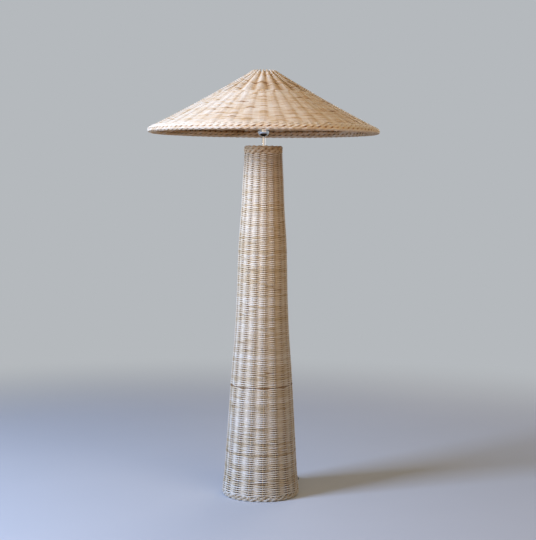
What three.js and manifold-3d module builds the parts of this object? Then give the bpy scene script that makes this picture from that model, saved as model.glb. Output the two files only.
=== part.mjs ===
// Floor lamp of woven cane: a hollow column that widens to the floor, a weighted foot,
// a chrome stem with a lampholder, and a wide cone shade that hangs from a drop fitter.
// Millimetres, +Z up. The origin is on the floor, on the column's axis; +Y is the lamp's back.
import * as THREE from 'three';
import { mergeVertices } from 'three/addons/utils/BufferGeometryUtils.js';
import Module from 'manifold-3d';

const wasm = await Module();
wasm.setup();

// Space left between pieces that touch
const gap = 0.3;

// Column wall and its borders
const columnHeight = 1230;
const columnFootRadius = 134;
const columnTopRadius = 66;
const columnWall = 9;
const flarePower = 1.17;
const borderProud = 1;
const topBorderHeight = 21;
const topBorderDepth = 11;
const footBorderHeight = 14;
const footBorderDepth = 10.4;

// Stakes that the column is woven on, from the front towards +X. The weavers lie further out over
// a stake than between two, and their spans there cut off part of the circle's rise
const stakeCount = 17;
const stakeStart = THREE.MathUtils.degToRad(3.5);
const stakeTwist = THREE.MathUtils.degToRad(4.5);
const columnLift = 3.1;
const flatSpanShare = 0.8;

// Wire frame inside the column
const frameWire = 5;
const uprightCount = 4;
const middleRingHeightShare = 0.49;
const bridgeBelowTop = 38;
const bridgeWidth = 20;
const bridgeThickness = 2.5;

// Weighted base
const footPadHeight = 4;
const footPadRadius = 15;
const footPadInset = 28;
const footPadCount = 4;
const plateThickness = 10;

// Stem pipe and its nuts
const stemRadius = 6;
const stemWall = 1;
const stemShown = 36;
const stemNutAcrossFlats = 19;
const stemNutHeight = 5;
const jamNutHeight = 2.7;

// Cup and nipple
const cupRadius = 20.5;
const cupWall = 1;
const cupHeight = 36;
const cupFlatRadius = 8;
const nippleWall = 1;
const nippleDepthInStem = 15;
const nippleAboveCupFloor = 6.5;
const nippleNutAcrossFlats = 12;
const nippleNutHeight = 3;

// Lampholder
const holderBodyRadius = 16.5;
const holderDepthInCup = 24;
const holderFlangeRadius = 22;
const holderFlangeHeight = 2.7;
const holderThreadRadius = 19;
const holderThreadHeight = 16;
const holderBoreRadius = 14.4;
const holderFloorThickness = 12;
const contactThickness = 0.6;
const contactWidth = 5;
const contactLength = 12;
const contactRise = 2.6;
const sideContactHeight = 18;
const terminalScrewRadius = 2;
const terminalScrewLength = 5;
const terminalScrewPlace = 10;

// Shade ring, the threaded ring that holds the shade down
const shadeRingHeight = 9;
const shadeRingWall = 6;
const shadeRingFlute = 1;
const shadeRingFlutes = 24;

// Bulb
const capRadius = 13.1;
const capRecess = 1.5;
const capWall = 0.5;
const bulbRadius = 30;
const bulbLength = 105;
const bulbWall = 1;
const bulbNeckInCap = 6;
const tipRadius = 4.5;
const tipHeight = 1.4;

// Shade
const shadeRadius = 412;
const shadeHeight = 228;
const shadeWall = 8;
const shadeSag = 4;
const rimBorderHeight = 24;
const rimBorderDepth = 18;
const shadeTopRadius = 46;
const shadeTopBorderDepth = 14;
const shadeTopBorderHeight = 14;
const weaveOverRim = 4;
const weaveUnderTop = 6;
const shadeWire = 5;
const shadeRib = 4;
const shadeRibCount = 4;
const rimWireInset = 8;
const topWireInset = 4;

// Stakes that the shade is woven on: pairs near its top, which spread singly further out
const pairCount = 21;
const pairStart = THREE.MathUtils.degToRad(-4.1);
const pairsUntil = 190;
const shadeLift = 2.8;

// Fitter, which carries the shade on the lampholder
const fitterThickness = 3;
const fitterFlange = 7.7;
const fitterWire = 4;
const fitterArmCount = 3;
const fitterDrop = 191.7;

// Cord and its strain relief
const cordDiameter = 6.5;
const glandHeight = 28;
const glandAngle = THREE.MathUtils.degToRad(50);
const glandHoleRadius = 6;
const glandCollarRadius = 8.5;
const glandCollarLength = 3.5;
const glandTail = 28;
const glandTipRadius = 4.2;
const stemWindowWidth = 8;
const innerBendRadius = 30;

// Foot switch
const switchLength = 64;
const switchWidth = 34;
const switchCorner = 9;
const switchBaseHeight = 6;
const switchCoverHeight = 13.7;
const switchWall = 2;
const switchX = 38;
const switchY = 255;
const buttonRadius = 10.8;
const buttonFlange = 2;
const buttonFlangeHeight = 1.5;
const buttonProud = 4;
const springWire = 0.8;
const springRadius = 5;
const springTurns = 4;

// Coil of the length that is put away, and where it lies
const coilX = -58;
const coilY = 200;
const coilRadius = 50;
const coilTurnsInward = 3;
const coilPitch = 7.2;

// Plug
const plugX = 60;
const plugY = 180;
const plugLength = 36;
const plugWidth = 35.3;
const plugNeckWidth = 14;
const plugThickness = 13.7;
const plugBootLength = 20;
const pinRadius = 2;
const pinLength = 19;
const pinSpacing = 19;

// Routes of the free cord: points chosen by hand, between the ends that its pieces set
const cordRest = cordDiameter / 2 + gap / 2;
const floorCordPoints = [
  [120.5, 144.6, 25.2],
  [126.6, 154.6, 19.8],
  [131.6, 165.2, 12.8],
  [135.5, 176.6, 6.9],
  [138.2, 189.0, 3.9],
  [139.2, 202.0, cordRest],
  [138.0, 215.0, cordRest],
  [134.0, 227.4, cordRest],
  [127.0, 238.4, cordRest],
  [117.4, 247.0, cordRest],
  [106.0, 252.6, cordRest],
  [94.0, 254.8, 4.2],
  [83.0, 255.0, 5.8],
];
const switchCordPoints = [
  [-18.0, 254.2, 4.6],
  [-30.0, 252.3, cordRest],
];
const plugCordPoints = [
  [-30.0, 151.6, 8.4],
  [-18.0, 155.6, 5.2],
  [-7.5, 161.6, cordRest],
  [2.5, 168.4, cordRest],
  [13.0, 174.8, 4.4],
];

// Counts of faces
const columnSides = 40;
const weaveSidesPerStake = 4;
const shadeWireSides = 48;
const smallSides = 24;
const wireSides = 6;
const cordSides = 8;
const coilSides = 6;
const coilSteps = 24;
const springSides = 6;
const springSteps = 8;
const cornerSteps = 1;
const flareSteps = 6;
const coneSteps = 6;
const ribSteps = 8;
const roundSteps = 4;
const bendSteps = 8;

// Heights and radii worked out from the sizes above
const plateBottom = footPadHeight + gap;
const plateTop = plateBottom + plateThickness;
const plateRadius = columnFootRadius - footBorderDepth - 2 * gap;
const bridgeBottom = columnHeight - bridgeBelowTop;
const cupBottom = columnHeight + stemShown;
const cupTop = cupBottom + cupHeight;
const stemTop = cupBottom - gap;
const stemBore = stemRadius - stemWall;
const nippleRadius = stemBore - gap;
const nippleTop = cupBottom + cupWall + nippleAboveCupFloor;
const holderBottom = cupTop - holderDepthInCup;
const holderFloor = holderBottom + holderFloorThickness;
const flangeTop = cupTop + gap + holderFlangeHeight;
const holderMouth = flangeTop + holderThreadHeight;
const fitterBottom = flangeTop + gap;
const fitterTop = fitterBottom + fitterThickness;
const fitterBore = holderThreadRadius + gap;
const fitterRadius = fitterBore + fitterFlange;
const shadeTop = fitterTop + fitterDrop;
const shadeBottom = shadeTop - shadeHeight;

// Values at even steps from one to another, both ends among them
function evenSteps(from, to, steps) {
  return Array.from({ length: steps + 1 }, (unused, step) => from + ((to - from) * step) / steps);
}

// Round profile of a piece turned about the Z axis: points are [radius, height] and close on
// themselves or start and end on the axis, and run so that the faces point outwards
function turned(points, sides) {
  const outline = points.map(([radius, height]) => new THREE.Vector2(radius, height));
  const ordered = THREE.ShapeUtils.area(outline) < 0 ? outline.reverse() : outline;
  const closes = ordered.some((point) => point.x === 0) === false;
  const profile = closes ? [...ordered, ordered[0].clone()] : startOnAxis(ordered);
  const geometry = new THREE.LatheGeometry(profile, sides);
  return geometry.rotateX(Math.PI / 2);
}

// Turned profile whose points then move: place takes a point's radius, its height and the number
// of its side, counted from the front towards +X, and gives its new radius, height and angle
function turnedAndMoved(points, sides, place) {
  const geometry = turned(points, sides);
  const position = geometry.attributes.position;
  for (let index = 0; index < position.count; index += 1) {
    const x = position.getX(index);
    const y = position.getY(index);
    const share = Math.atan2(x, -y) / (2 * Math.PI);
    const side = (Math.round(share * sides) + sides) % sides;
    const [radius, height, angle] = place(Math.hypot(x, y), position.getZ(index), side);
    position.setXYZ(index, radius * Math.sin(angle), -radius * Math.cos(angle), height);
  }
  return geometry;
}

// The same points, turned round their ring so that the first and the last lie on the axis
function startOnAxis(points) {
  const count = points.length;
  const before = (index) => points[(index + count - 1) % count];
  const first = points.findIndex((point, index) => point.x === 0 && before(index).x === 0);
  return points.map((point, index) => points[(first + index) % count]);
}

// Rectangle in radius and height with round corners, for a border's section
function roundedSection(inner, outer, bottom, top, corner) {
  const centres = [
    [outer - corner, bottom + corner, -Math.PI / 2],
    [outer - corner, top - corner, 0],
    [inner + corner, top - corner, Math.PI / 2],
    [inner + corner, bottom + corner, Math.PI],
  ];
  return centres.flatMap(([radius, height, start]) => {
    const angles = evenSteps(start, start + Math.PI / 2, cornerSteps);
    return angles.map((angle) => [radius + corner * Math.cos(angle), height + corner * Math.sin(angle)]);
  });
}

// Tube or washer of plain rectangular section
function sleeve(inner, outer, bottom, top, sides) {
  return turned([[inner, bottom], [outer, bottom], [outer, top], [inner, top]], sides);
}

// Round solid standing on the XY plane
function disc(radius, bottom, top, sides) {
  return turned([[0, bottom], [radius, bottom], [radius, top], [0, top]], sides);
}

// Route whose cross-sections stand at its own points
class Route extends THREE.Curve {
  constructor(points) {
    super();
    this.points = points;
    this.line = new THREE.CatmullRomCurve3(points, false, 'centripetal');
  }
  getPoint(share, target) {
    return this.line.getPoint(share, target);
  }
  getPointAt(share, target) {
    return this.line.getPoint(share, target);
  }
  getTangentAt(share, target) {
    return this.line.getTangent(share, target);
  }
}

// Round bar or cord along a list of points
function bar(points, radius, sides) {
  const section = new THREE.Shape();
  section.absarc(0, 0, radius, 0, 2 * Math.PI);
  const route = new Route(points);
  return new THREE.ExtrudeGeometry(section, {
    steps: points.length - 1,
    extrudePath: route,
    curveSegments: sides / 2,
    bevelEnabled: false,
  });
}

// Flat outline raised from one height to another
function raised(shape, bottom, top) {
  const geometry = new THREE.ExtrudeGeometry(shape, {
    depth: top - bottom,
    curveSegments: roundSteps,
    bevelEnabled: false,
  });
  return geometry.translate(0, 0, bottom);
}

// Rectangle with round corners, centred on a point
function roundedRectangle(length, width, corner) {
  const shape = new THREE.Shape();
  const right = length / 2 - corner;
  const back = width / 2 - corner;
  shape.absarc(right, back, corner, 0, Math.PI / 2);
  shape.absarc(-right, back, corner, Math.PI / 2, Math.PI);
  shape.absarc(-right, -back, corner, Math.PI, 1.5 * Math.PI);
  shape.absarc(right, -back, corner, 1.5 * Math.PI, 2 * Math.PI);
  return shape;
}

// Round hole whose flats stand at least a radius from its centre
function roundHole(radius) {
  const reach = radius / Math.cos(Math.PI / smallSides);
  const angles = evenSteps(0, 2 * Math.PI, smallSides).slice(1);
  const corner = (angle) => new THREE.Vector2(reach * Math.cos(angle), reach * Math.sin(angle));
  return new THREE.Path(angles.map(corner));
}

// Hexagon nut with its bore
function nut(acrossFlats, bore, bottom, top) {
  const corner = acrossFlats / 2 / Math.cos(Math.PI / 6);
  const shape = new THREE.Shape();
  for (let side = 0; side < 6; side += 1) {
    const angle = (side * Math.PI) / 3;
    const x = corner * Math.cos(angle);
    const y = corner * Math.sin(angle);
    if (side === 0) shape.moveTo(x, y);
    else shape.lineTo(x, y);
  }
  shape.holes.push(roundHole(bore));
  return raised(shape, bottom, top);
}

// Vertices of a geometry that lie nearer than this are one
const mergeWithin = gap / 1000;

// Solid of a closed geometry, for cuts
function solid(geometry) {
  const bare = geometry.clone();
  bare.deleteAttribute('normal');
  bare.deleteAttribute('uv');
  const merged = mergeVertices(bare, mergeWithin);
  const vertProperties = new Float32Array(merged.attributes.position.array);
  const triVerts = new Uint32Array(merged.index.array);
  return new wasm.Manifold(new wasm.Mesh({ numProp: 3, vertProperties, triVerts }));
}

// Geometry of a solid
function surface(body) {
  const mesh = body.getMesh();
  const geometry = new THREE.BufferGeometry();
  geometry.setAttribute('position', new THREE.BufferAttribute(new Float32Array(mesh.vertProperties), 3));
  geometry.setIndex(new THREE.BufferAttribute(new Uint32Array(mesh.triVerts), 1));
  geometry.computeVertexNormals();
  return geometry;
}

// What is left of a piece once others are cut from it
function cut(piece, ...cutters) {
  const left = cutters.reduce((body, cutter) => body.subtract(solid(cutter)), solid(piece));
  return surface(left);
}

// Named piece with its own finish
function piece(name, geometry, finish) {
  const mesh = new THREE.Mesh(geometry, new THREE.MeshStandardMaterial(finish));
  mesh.name = name;
  return mesh;
}

const cane = { color: '#c9ad80', roughness: 0.6, metalness: 0 };
const borderCane = { color: '#b8935f', roughness: 0.6, metalness: 0 };
const frameSteel = { color: '#3b3833', roughness: 0.5, metalness: 0.6 };
const blackIron = { color: '#2b2b2c', roughness: 0.7, metalness: 0.5 };
const chrome = { color: '#d4d6d8', roughness: 0.08, metalness: 1 };
const thermoset = { color: '#141414', roughness: 0.4, metalness: 0 };
const brass = { color: '#c7a252', roughness: 0.3, metalness: 1 };
const zinc = { color: '#a9adb0', roughness: 0.35, metalness: 1 };
const felt = { color: '#4a4640', roughness: 0.95, metalness: 0 };
const opal = { color: '#f4f2ec', roughness: 0.2, metalness: 0 };
const blackPlastic = { color: '#0d0d0e', roughness: 0.45, metalness: 0 };

// Outer radius of the column at a height: the flare eases from the foot to the top
function columnRadius(height) {
  const left = 1 - height / columnHeight;
  return columnTopRadius + (columnFootRadius - columnTopRadius) * left ** flarePower;
}

function weaveRadius(height) {
  return columnRadius(height) - borderProud;
}

// Centre of a bar that lies inside the woven wall, past any wires between them
function insideWall(height, wires, barDiameter) {
  return weaveRadius(height) - columnWall - gap - wires * (frameWire + gap) - barDiameter / 2;
}

// How far the weave's outside lies inside the circle over the stakes, at a share of the way from a
// stake to the middle between two
function furrow(radius, stakes, lift, share) {
  const rise = radius * (1 - Math.cos(Math.PI / stakes));
  return lift * share + flatSpanShare * rise * (1 - (1 - share) ** 2);
}

// Where the first stake stands at a height, from the front towards +X
function stakeAngle(height) {
  return stakeStart + (stakeTwist * height) / columnHeight;
}

// Woven wall with a rib over each stake and a furrow between two
function columnWeave() {
  const bottom = footBorderHeight + gap;
  const top = columnHeight - topBorderHeight - gap;
  const heights = evenSteps(bottom, top, flareSteps);
  const outside = heights.map((height) => [weaveRadius(height), height]);
  const inside = heights.map((height) => [weaveRadius(height) - columnWall, height]).reverse();
  const sides = weaveSidesPerStake * stakeCount;
  const place = (radius, height, side) => {
    const along = side / weaveSidesPerStake;
    const share = 2 * Math.abs(along - Math.round(along));
    const outer = radius > weaveRadius(height) - columnWall / 2;
    const depth = outer ? furrow(radius, stakeCount, columnLift, share) : 0;
    return [radius - depth, height, stakeAngle(height) + (side * 2 * Math.PI) / sides];
  };
  const wall = turnedAndMoved([...outside, ...inside], sides, place);
  const hole = disc(glandHoleRadius, -2 * columnWall, 2 * columnWall, smallSides / 2);
  return cut(wall, alongGland(hole, weaveRadius(glandHeight)));
}

// Shape made on the Z axis, laid along the gland's axis with its zero at a radius of the column
function alongGland(geometry, radius) {
  geometry.rotateY(Math.PI / 2);
  geometry.translate(radius, 0, glandHeight);
  return geometry.rotateZ(glandAngle);
}

function columnBorders() {
  const topOuter = columnRadius(columnHeight - topBorderHeight) + gap;
  const topSection = roundedSection(topOuter - topBorderDepth, topOuter,
    columnHeight - topBorderHeight, columnHeight, topBorderDepth / 3);
  const footSection = roundedSection(columnFootRadius - footBorderDepth, columnFootRadius,
    0, footBorderHeight, footBorderDepth / 4);
  return [
    piece('column_top_border', turned(topSection, columnSides), borderCane),
    piece('column_foot_border', turned(footSection, columnSides), borderCane),
  ];
}

// Ring of frame wire against the wall, below a height
function frameRing(name, top) {
  const radius = insideWall(top, 0, frameWire);
  const ring = new THREE.TorusGeometry(radius, frameWire / 2, wireSides, columnSides);
  const mesh = piece(name, ring, frameSteel);
  mesh.position.z = top - frameWire / 2;
  return mesh;
}

function frameUprights() {
  const bottom = plateTop + 2 * gap;
  const top = bridgeBottom - 2 * gap;
  const points = evenSteps(bottom, top, 2 * flareSteps).map((height) =>
    new THREE.Vector3(insideWall(height + frameWire, 1, frameWire), 0, height));
  return Array.from({ length: uprightCount }, (unused, index) => {
    const mesh = piece(`frame_upright_${index + 1}`, bar(points, frameWire / 2, wireSides), frameSteel);
    mesh.rotation.z = (index * 2 * Math.PI) / uprightCount;
    return mesh;
  });
}

// Flat strap across the top ring, with a hole that centres the stem
function topBridge() {
  const reach = insideWall(bridgeBottom, 0, frameWire);
  const strap = new THREE.Shape();
  strap.moveTo(-reach, -bridgeWidth / 2);
  strap.lineTo(reach, -bridgeWidth / 2);
  strap.lineTo(reach, bridgeWidth / 2);
  strap.lineTo(-reach, bridgeWidth / 2);
  strap.holes.push(roundHole(stemRadius + gap));
  return piece('top_bridge', raised(strap, bridgeBottom, bridgeBottom + bridgeThickness), frameSteel);
}

function stemNuts() {
  const bore = stemRadius + gap;
  const overBridge = bridgeBottom + bridgeThickness + gap;
  const overPlate = plateTop + gap;
  const underPlate = plateBottom - gap;
  return [
    piece('bridge_nut', nut(stemNutAcrossFlats, bore, overBridge, overBridge + stemNutHeight), zinc),
    piece('plate_nut_upper', nut(stemNutAcrossFlats, bore, overPlate, overPlate + stemNutHeight), zinc),
    piece('plate_nut_lower', nut(stemNutAcrossFlats, bore, underPlate - jamNutHeight, underPlate), zinc),
  ];
}

function basePlate() {
  const plate = sleeve(stemRadius + gap, plateRadius, plateBottom, plateTop, columnSides);
  return piece('base_plate', plate, blackIron);
}

function footPads() {
  const place = plateRadius - footPadInset;
  return Array.from({ length: footPadCount }, (unused, index) => {
    const angle = ((index + 0.5) * 2 * Math.PI) / footPadCount;
    const pad = disc(footPadRadius, 0, footPadHeight, smallSides / 2);
    const mesh = piece(`foot_pad_${index + 1}`, pad, felt);
    mesh.position.set(place * Math.cos(angle), place * Math.sin(angle), 0);
    return mesh;
  });
}

// Stem pipe, with a window near its foot where the cord comes in
function stemPipe() {
  const bottom = plateBottom - gap - jamNutHeight;
  const pipe = sleeve(stemBore, stemRadius, bottom, stemTop, smallSides / 2);
  const windowBottom = glandHeight + cordDiameter;
  const windowTop = glandHeight + innerBendRadius - gap;
  const window = new THREE.BoxGeometry(2 * stemRadius, stemWindowWidth, windowTop - windowBottom);
  window.translate(stemRadius, 0, (windowBottom + windowTop) / 2);
  window.rotateZ(glandAngle);
  return piece('stem_pipe', cut(pipe, window), chrome);
}

function nipple() {
  const bore = nippleRadius - nippleWall;
  const tube = sleeve(bore, nippleRadius, stemTop - nippleDepthInStem, nippleTop, smallSides / 2);
  const floor = cupBottom + cupWall + gap;
  return [
    piece('cup_nipple', tube, zinc),
    piece('cup_nut', nut(nippleNutAcrossFlats, nippleRadius + gap, floor, floor + nippleNutHeight), zinc),
  ];
}

// Round-bottomed cup: a flat seat, a part of a sphere, then a straight wall
function holderCup() {
  const centre = cupBottom + Math.sqrt(cupRadius ** 2 - cupFlatRadius ** 2);
  const wallLine = (radius, bottom) => {
    const start = -Math.asin((centre - bottom) / radius);
    const angles = evenSteps(start, 0, roundSteps);
    return angles.map((angle) => [radius * Math.cos(angle), centre + radius * Math.sin(angle)]);
  };
  const bore = nippleRadius + gap;
  const outside = [[bore, cupBottom], ...wallLine(cupRadius, cupBottom), [cupRadius, cupTop]];
  const innerRadius = cupRadius - cupWall;
  const floor = cupBottom + cupWall;
  const inside = [[bore, floor], ...wallLine(innerRadius, floor), [innerRadius, cupTop]].reverse();
  return piece('holder_cup', turned([...outside, ...inside], smallSides), chrome);
}

// Insulating body: it sits in the cup, its flange covers the cup's edge, and its thread takes
// the shade ring
function holderBody() {
  const flangeBottom = cupTop + gap;
  const section = [
    [0, holderBottom],
    [holderBodyRadius, holderBottom],
    [holderBodyRadius, flangeBottom],
    [holderFlangeRadius, flangeBottom],
    [holderFlangeRadius, flangeTop],
    [holderThreadRadius, flangeTop],
    [holderThreadRadius, holderMouth],
    [holderBoreRadius, holderMouth],
    [holderBoreRadius, holderFloor],
    [0, holderFloor],
  ];
  return piece('holder_body', turned(section, smallSides), thermoset);
}

// Brass tongue under the bulb's tip, and brass strip beside its cap
function contacts() {
  const half = contactLength / 2;
  const bendShare = 1 / 3;
  const tongue = new THREE.Shape();
  tongue.moveTo(-half, 0);
  tongue.lineTo(half * bendShare, 0);
  tongue.lineTo(half, contactRise);
  tongue.lineTo(half, contactRise + contactThickness);
  tongue.lineTo(half * bendShare, contactThickness);
  tongue.lineTo(-half, contactThickness);
  const centre = new THREE.ExtrudeGeometry(tongue, { depth: contactWidth, bevelEnabled: false });
  centre.translate(0, 0, -contactWidth / 2);
  centre.rotateX(Math.PI / 2);
  const centreMesh = piece('centre_contact', centre, brass);
  centreMesh.position.z = holderFloor + gap;
  const strip = new THREE.BoxGeometry(contactThickness, contactWidth, sideContactHeight);
  const sideMesh = piece('side_contact', strip, brass);
  const place = (holderBoreRadius + capRadius) / 2 - contactThickness / 4;
  sideMesh.position.set(-place, 0, holderFloor + gap + sideContactHeight / 2);
  return [centreMesh, sideMesh];
}

function terminalScrews() {
  const top = holderBottom - gap;
  return [1, -1].map((side, index) => {
    const screw = disc(terminalScrewRadius, top - terminalScrewLength, top, smallSides / 2);
    const mesh = piece(`terminal_screw_${index + 1}`, screw, brass);
    mesh.position.x = side * terminalScrewPlace;
    return mesh;
  });
}

// Fluted ring that screws down on the fitter
function shadeRing() {
  const radius = fitterBore + shadeRingWall;
  const shape = new THREE.Shape();
  const points = Array.from({ length: 4 * shadeRingFlutes }, (unused, index) => {
    const angle = (index * Math.PI) / 2 / shadeRingFlutes;
    const reach = index % 4 < 2 ? radius : radius - shadeRingFlute;
    return new THREE.Vector2(reach * Math.cos(angle), reach * Math.sin(angle));
  });
  shape.setFromPoints(points);
  shape.holes.push(roundHole(fitterBore));
  const bottom = fitterTop + gap;
  return piece('shade_ring', raised(shape, bottom, bottom + shadeRingHeight), thermoset);
}

// Bulb: tip, screw cap with a closed floor, and a pear of glass open into the cap
function bulb() {
  const tipBottom = holderFloor + 2 * gap + contactRise + contactThickness;
  const capBottom = tipBottom + tipHeight + gap;
  const capTop = holderMouth - capRecess;
  const cap = turned([
    [0, capBottom],
    [capRadius, capBottom],
    [capRadius, capTop],
    [capRadius - capWall, capTop],
    [capRadius - capWall, capBottom + capWall],
    [0, capBottom + capWall],
  ], smallSides);
  const glass = glassSection(capTop - bulbNeckInCap, tipBottom + bulbLength);
  return [
    piece('bulb_tip', disc(tipRadius, tipBottom, tipBottom + tipHeight, smallSides / 2), brass),
    piece('bulb_cap', cap, zinc),
    piece('bulb_glass', turned(glass, smallSides), opal),
  ];
}

// Closed section of the glass wall, from the open neck round the crown to the axis and back
function glassSection(bottom, top) {
  const neck = capRadius - capWall - gap;
  const centre = top - bulbRadius;
  const middle = (holderMouth + centre) / 2;
  const wallLine = (inset) => {
    const curve = new THREE.CubicBezierCurve(
      new THREE.Vector2(neck - inset, holderMouth),
      new THREE.Vector2(neck - inset, middle),
      new THREE.Vector2(bulbRadius - inset, middle),
      new THREE.Vector2(bulbRadius - inset, centre));
    const flank = curve.getPoints(roundSteps).map((point) => [point.x, point.y]);
    const crown = evenSteps(0, Math.PI / 2, roundSteps).slice(1, -1).map((angle) =>
      [(bulbRadius - inset) * Math.cos(angle), centre + (bulbRadius - inset) * Math.sin(angle)]);
    return [[neck - inset, bottom], ...flank, ...crown, [0, centre + bulbRadius - inset]];
  };
  return [...wallLine(0), ...wallLine(bulbWall).reverse()];
}

// Shade's sizes that several of its pieces share
const weaveInner = shadeTopRadius + gap;
const weaveOuter = shadeRadius - rimBorderDepth - gap;
const weaveFall = shadeHeight - rimBorderHeight - weaveOverRim - weaveUnderTop;
const steepest = (weaveFall + 4 * shadeSag) / (weaveOuter - weaveInner);
const slant = Math.hypot(1, steepest);

// Height of the woven cone's outside at a radius: a straight fall with a slight hollow
function coneHeight(radius) {
  const share = (radius - weaveInner) / (weaveOuter - weaveInner);
  const straight = shadeTop - weaveUnderTop - weaveFall * share;
  return straight - 4 * shadeSag * share * (1 - share);
}

// Height of the centre of a bar that lies under the cone
function underCone(radius, barDiameter) {
  return coneHeight(radius) - (shadeWall + gap + barDiameter / 2) * slant;
}

const shadeSides = weaveSidesPerStake * pairCount;

// Woven cone with a rib over each pair of stakes near the top, and over each stake further out
function shadeWeave() {
  const radii = evenSteps(weaveOuter, weaveInner, coneSteps);
  const outside = radii.map((radius) => [radius, coneHeight(radius)]);
  const inside = radii.map((radius) => [radius, coneHeight(radius) - shadeWall * slant]).reverse();
  const place = (radius, height, side) => {
    const paired = radius < pairsUntil;
    const along = side / weaveSidesPerStake;
    const share = paired ? 2 * Math.abs(along - Math.round(along)) : (side + 1) % 2;
    const outer = height > coneHeight(radius) - (shadeWall * slant) / 2;
    const ribs = paired ? pairCount : 2 * pairCount;
    const depth = outer ? furrow(radius, ribs, shadeLift, share) * slant : 0;
    return [radius, height - depth, pairStart + (side * 2 * Math.PI) / shadeSides];
  };
  const wall = turnedAndMoved([...outside, ...inside], shadeSides, place);
  return piece('shade_weave', wall, cane);
}

// Section of the rim's border as shares of its depth and height: flat below, with a blunt nose
// outside and a back that carries on the cone's slope
const rimSectionShares = [
  [0, 0.15],
  [0.12, 0],
  [0.7, 0],
  [1, 0.25],
  [1, 0.62],
  [0.82, 0.82],
  [0.1, 1],
  [0, 0.96],
];

function shadeBorders() {
  const rim = rimSectionShares.map(([out, up]) =>
    [shadeRadius - rimBorderDepth * (1 - out), shadeBottom + rimBorderHeight * up]);
  const top = roundedSection(shadeTopRadius - shadeTopBorderDepth, shadeTopRadius,
    shadeTop - shadeTopBorderHeight, shadeTop, shadeTopBorderDepth / 3);
  return [
    piece('shade_rim_border', turned(rim, shadeSides), borderCane),
    piece('shade_top_border', turned(top, shadeWireSides / 2), borderCane),
  ];
}

const rimWireRadius = weaveOuter - rimWireInset;
const topWireRadius = weaveInner + topWireInset;

function shadeWires() {
  const wires = [
    ['shade_rim_wire', rimWireRadius, shadeWireSides],
    ['shade_top_wire', topWireRadius, shadeWireSides / 2],
  ];
  return wires.map(([name, radius, sides]) => {
    const ring = new THREE.TorusGeometry(radius, shadeWire / 2, wireSides, sides);
    const mesh = piece(name, ring, frameSteel);
    mesh.position.z = underCone(radius, shadeWire);
    return mesh;
  });
}

function shadeRibs() {
  const clear = (shadeWire + shadeRib) / 2 + gap;
  const radii = evenSteps(topWireRadius + clear, rimWireRadius - clear, ribSteps);
  const points = radii.map((radius) => new THREE.Vector3(radius, 0, underCone(radius, shadeRib)));
  return Array.from({ length: shadeRibCount }, (unused, index) => {
    const mesh = piece(`shade_rib_${index + 1}`, bar(points, shadeRib / 2, wireSides), frameSteel);
    mesh.rotation.z = ((index + 0.5) * 2 * Math.PI) / shadeRibCount;
    return mesh;
  });
}

// Fitter: a ring on the lampholder's flange, and arms that rise to the shade's top wire
function fitter() {
  const ring = sleeve(fitterBore, fitterRadius, fitterBottom, fitterTop, smallSides);
  const start = fitterRadius + gap;
  const level = (fitterBottom + fitterTop) / 2;
  const end = underCone(topWireRadius, shadeWire) - shadeWire / 2 - gap;
  const bend = (topWireRadius - start) / 2;
  const corner = evenSteps(0, Math.PI / 2, bendSteps / 2).map((angle) => {
    const radius = topWireRadius - bend + bend * Math.sin(angle);
    return new THREE.Vector3(radius, 0, level + bend - bend * Math.cos(angle));
  });
  const points = [
    new THREE.Vector3(start, 0, level),
    new THREE.Vector3(start + bend / 2, 0, level),
    ...corner,
    new THREE.Vector3(topWireRadius, 0, (level + end) / 2),
    new THREE.Vector3(topWireRadius, 0, end),
  ];
  const arms = Array.from({ length: fitterArmCount }, (unused, index) => {
    const mesh = piece(`fitter_arm_${index + 1}`, bar(points, fitterWire / 2, wireSides), frameSteel);
    mesh.rotation.z = Math.PI / 2 + (index * 2 * Math.PI) / fitterArmCount;
    return mesh;
  });
  return [piece('fitter_ring', ring, frameSteel), ...arms];
}

// Share of the way from the nearest stake to the furrow's middle, at an angle and a height
function furrowShare(angle, height) {
  const along = ((angle + Math.PI / 2 - stakeAngle(height)) * stakeCount) / (2 * Math.PI);
  return 2 * Math.abs(along - Math.round(along));
}

// Strain relief through the column's wall: a collar on each side, the outer one across a furrow,
// and a tapered tail
const wallOutside = weaveRadius(glandHeight);
const collarAngle = Math.asin(glandCollarRadius / wallOutside);
const collarShare = Math.min(
  furrowShare(glandAngle - collarAngle, glandHeight),
  furrowShare(glandAngle + collarAngle, glandHeight));
const glandFace = wallOutside - furrow(wallOutside, stakeCount, columnLift, collarShare);
const wallLean = weaveRadius(glandHeight - glandCollarRadius) - wallOutside;
const wallInside = wallOutside - columnWall;
const wallCurve = wallInside - Math.sqrt(wallInside ** 2 - glandCollarRadius ** 2);
const wallFacet = wallInside * (1 - Math.cos(Math.PI / columnSides));
const outerSeat = wallLean + gap;
const innerSeat = wallInside - glandFace - wallLean - wallCurve - wallFacet - gap;
const outerCollar = outerSeat + glandCollarLength;
const glandTip = outerCollar + gap + glandTail;
const glandInner = innerSeat - glandCollarLength;

function cordGland() {
  const neck = glandHoleRadius - gap;
  const section = [
    [0, glandInner],
    [glandCollarRadius, glandInner],
    [glandCollarRadius, innerSeat],
    [neck, innerSeat],
    [neck, outerSeat],
    [glandCollarRadius, outerSeat],
    [glandCollarRadius, outerCollar],
    [neck, outerCollar + gap],
    [glandTipRadius, glandTip],
    [0, glandTip],
  ];
  return piece('cord_gland', alongGland(turned(section, smallSides / 2), glandFace), blackPlastic);
}

// Point at a distance from the column's axis, on the gland's side
function onGlandSide(distance, height) {
  return new THREE.Vector3(distance * Math.cos(glandAngle), distance * Math.sin(glandAngle), height);
}

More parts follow.
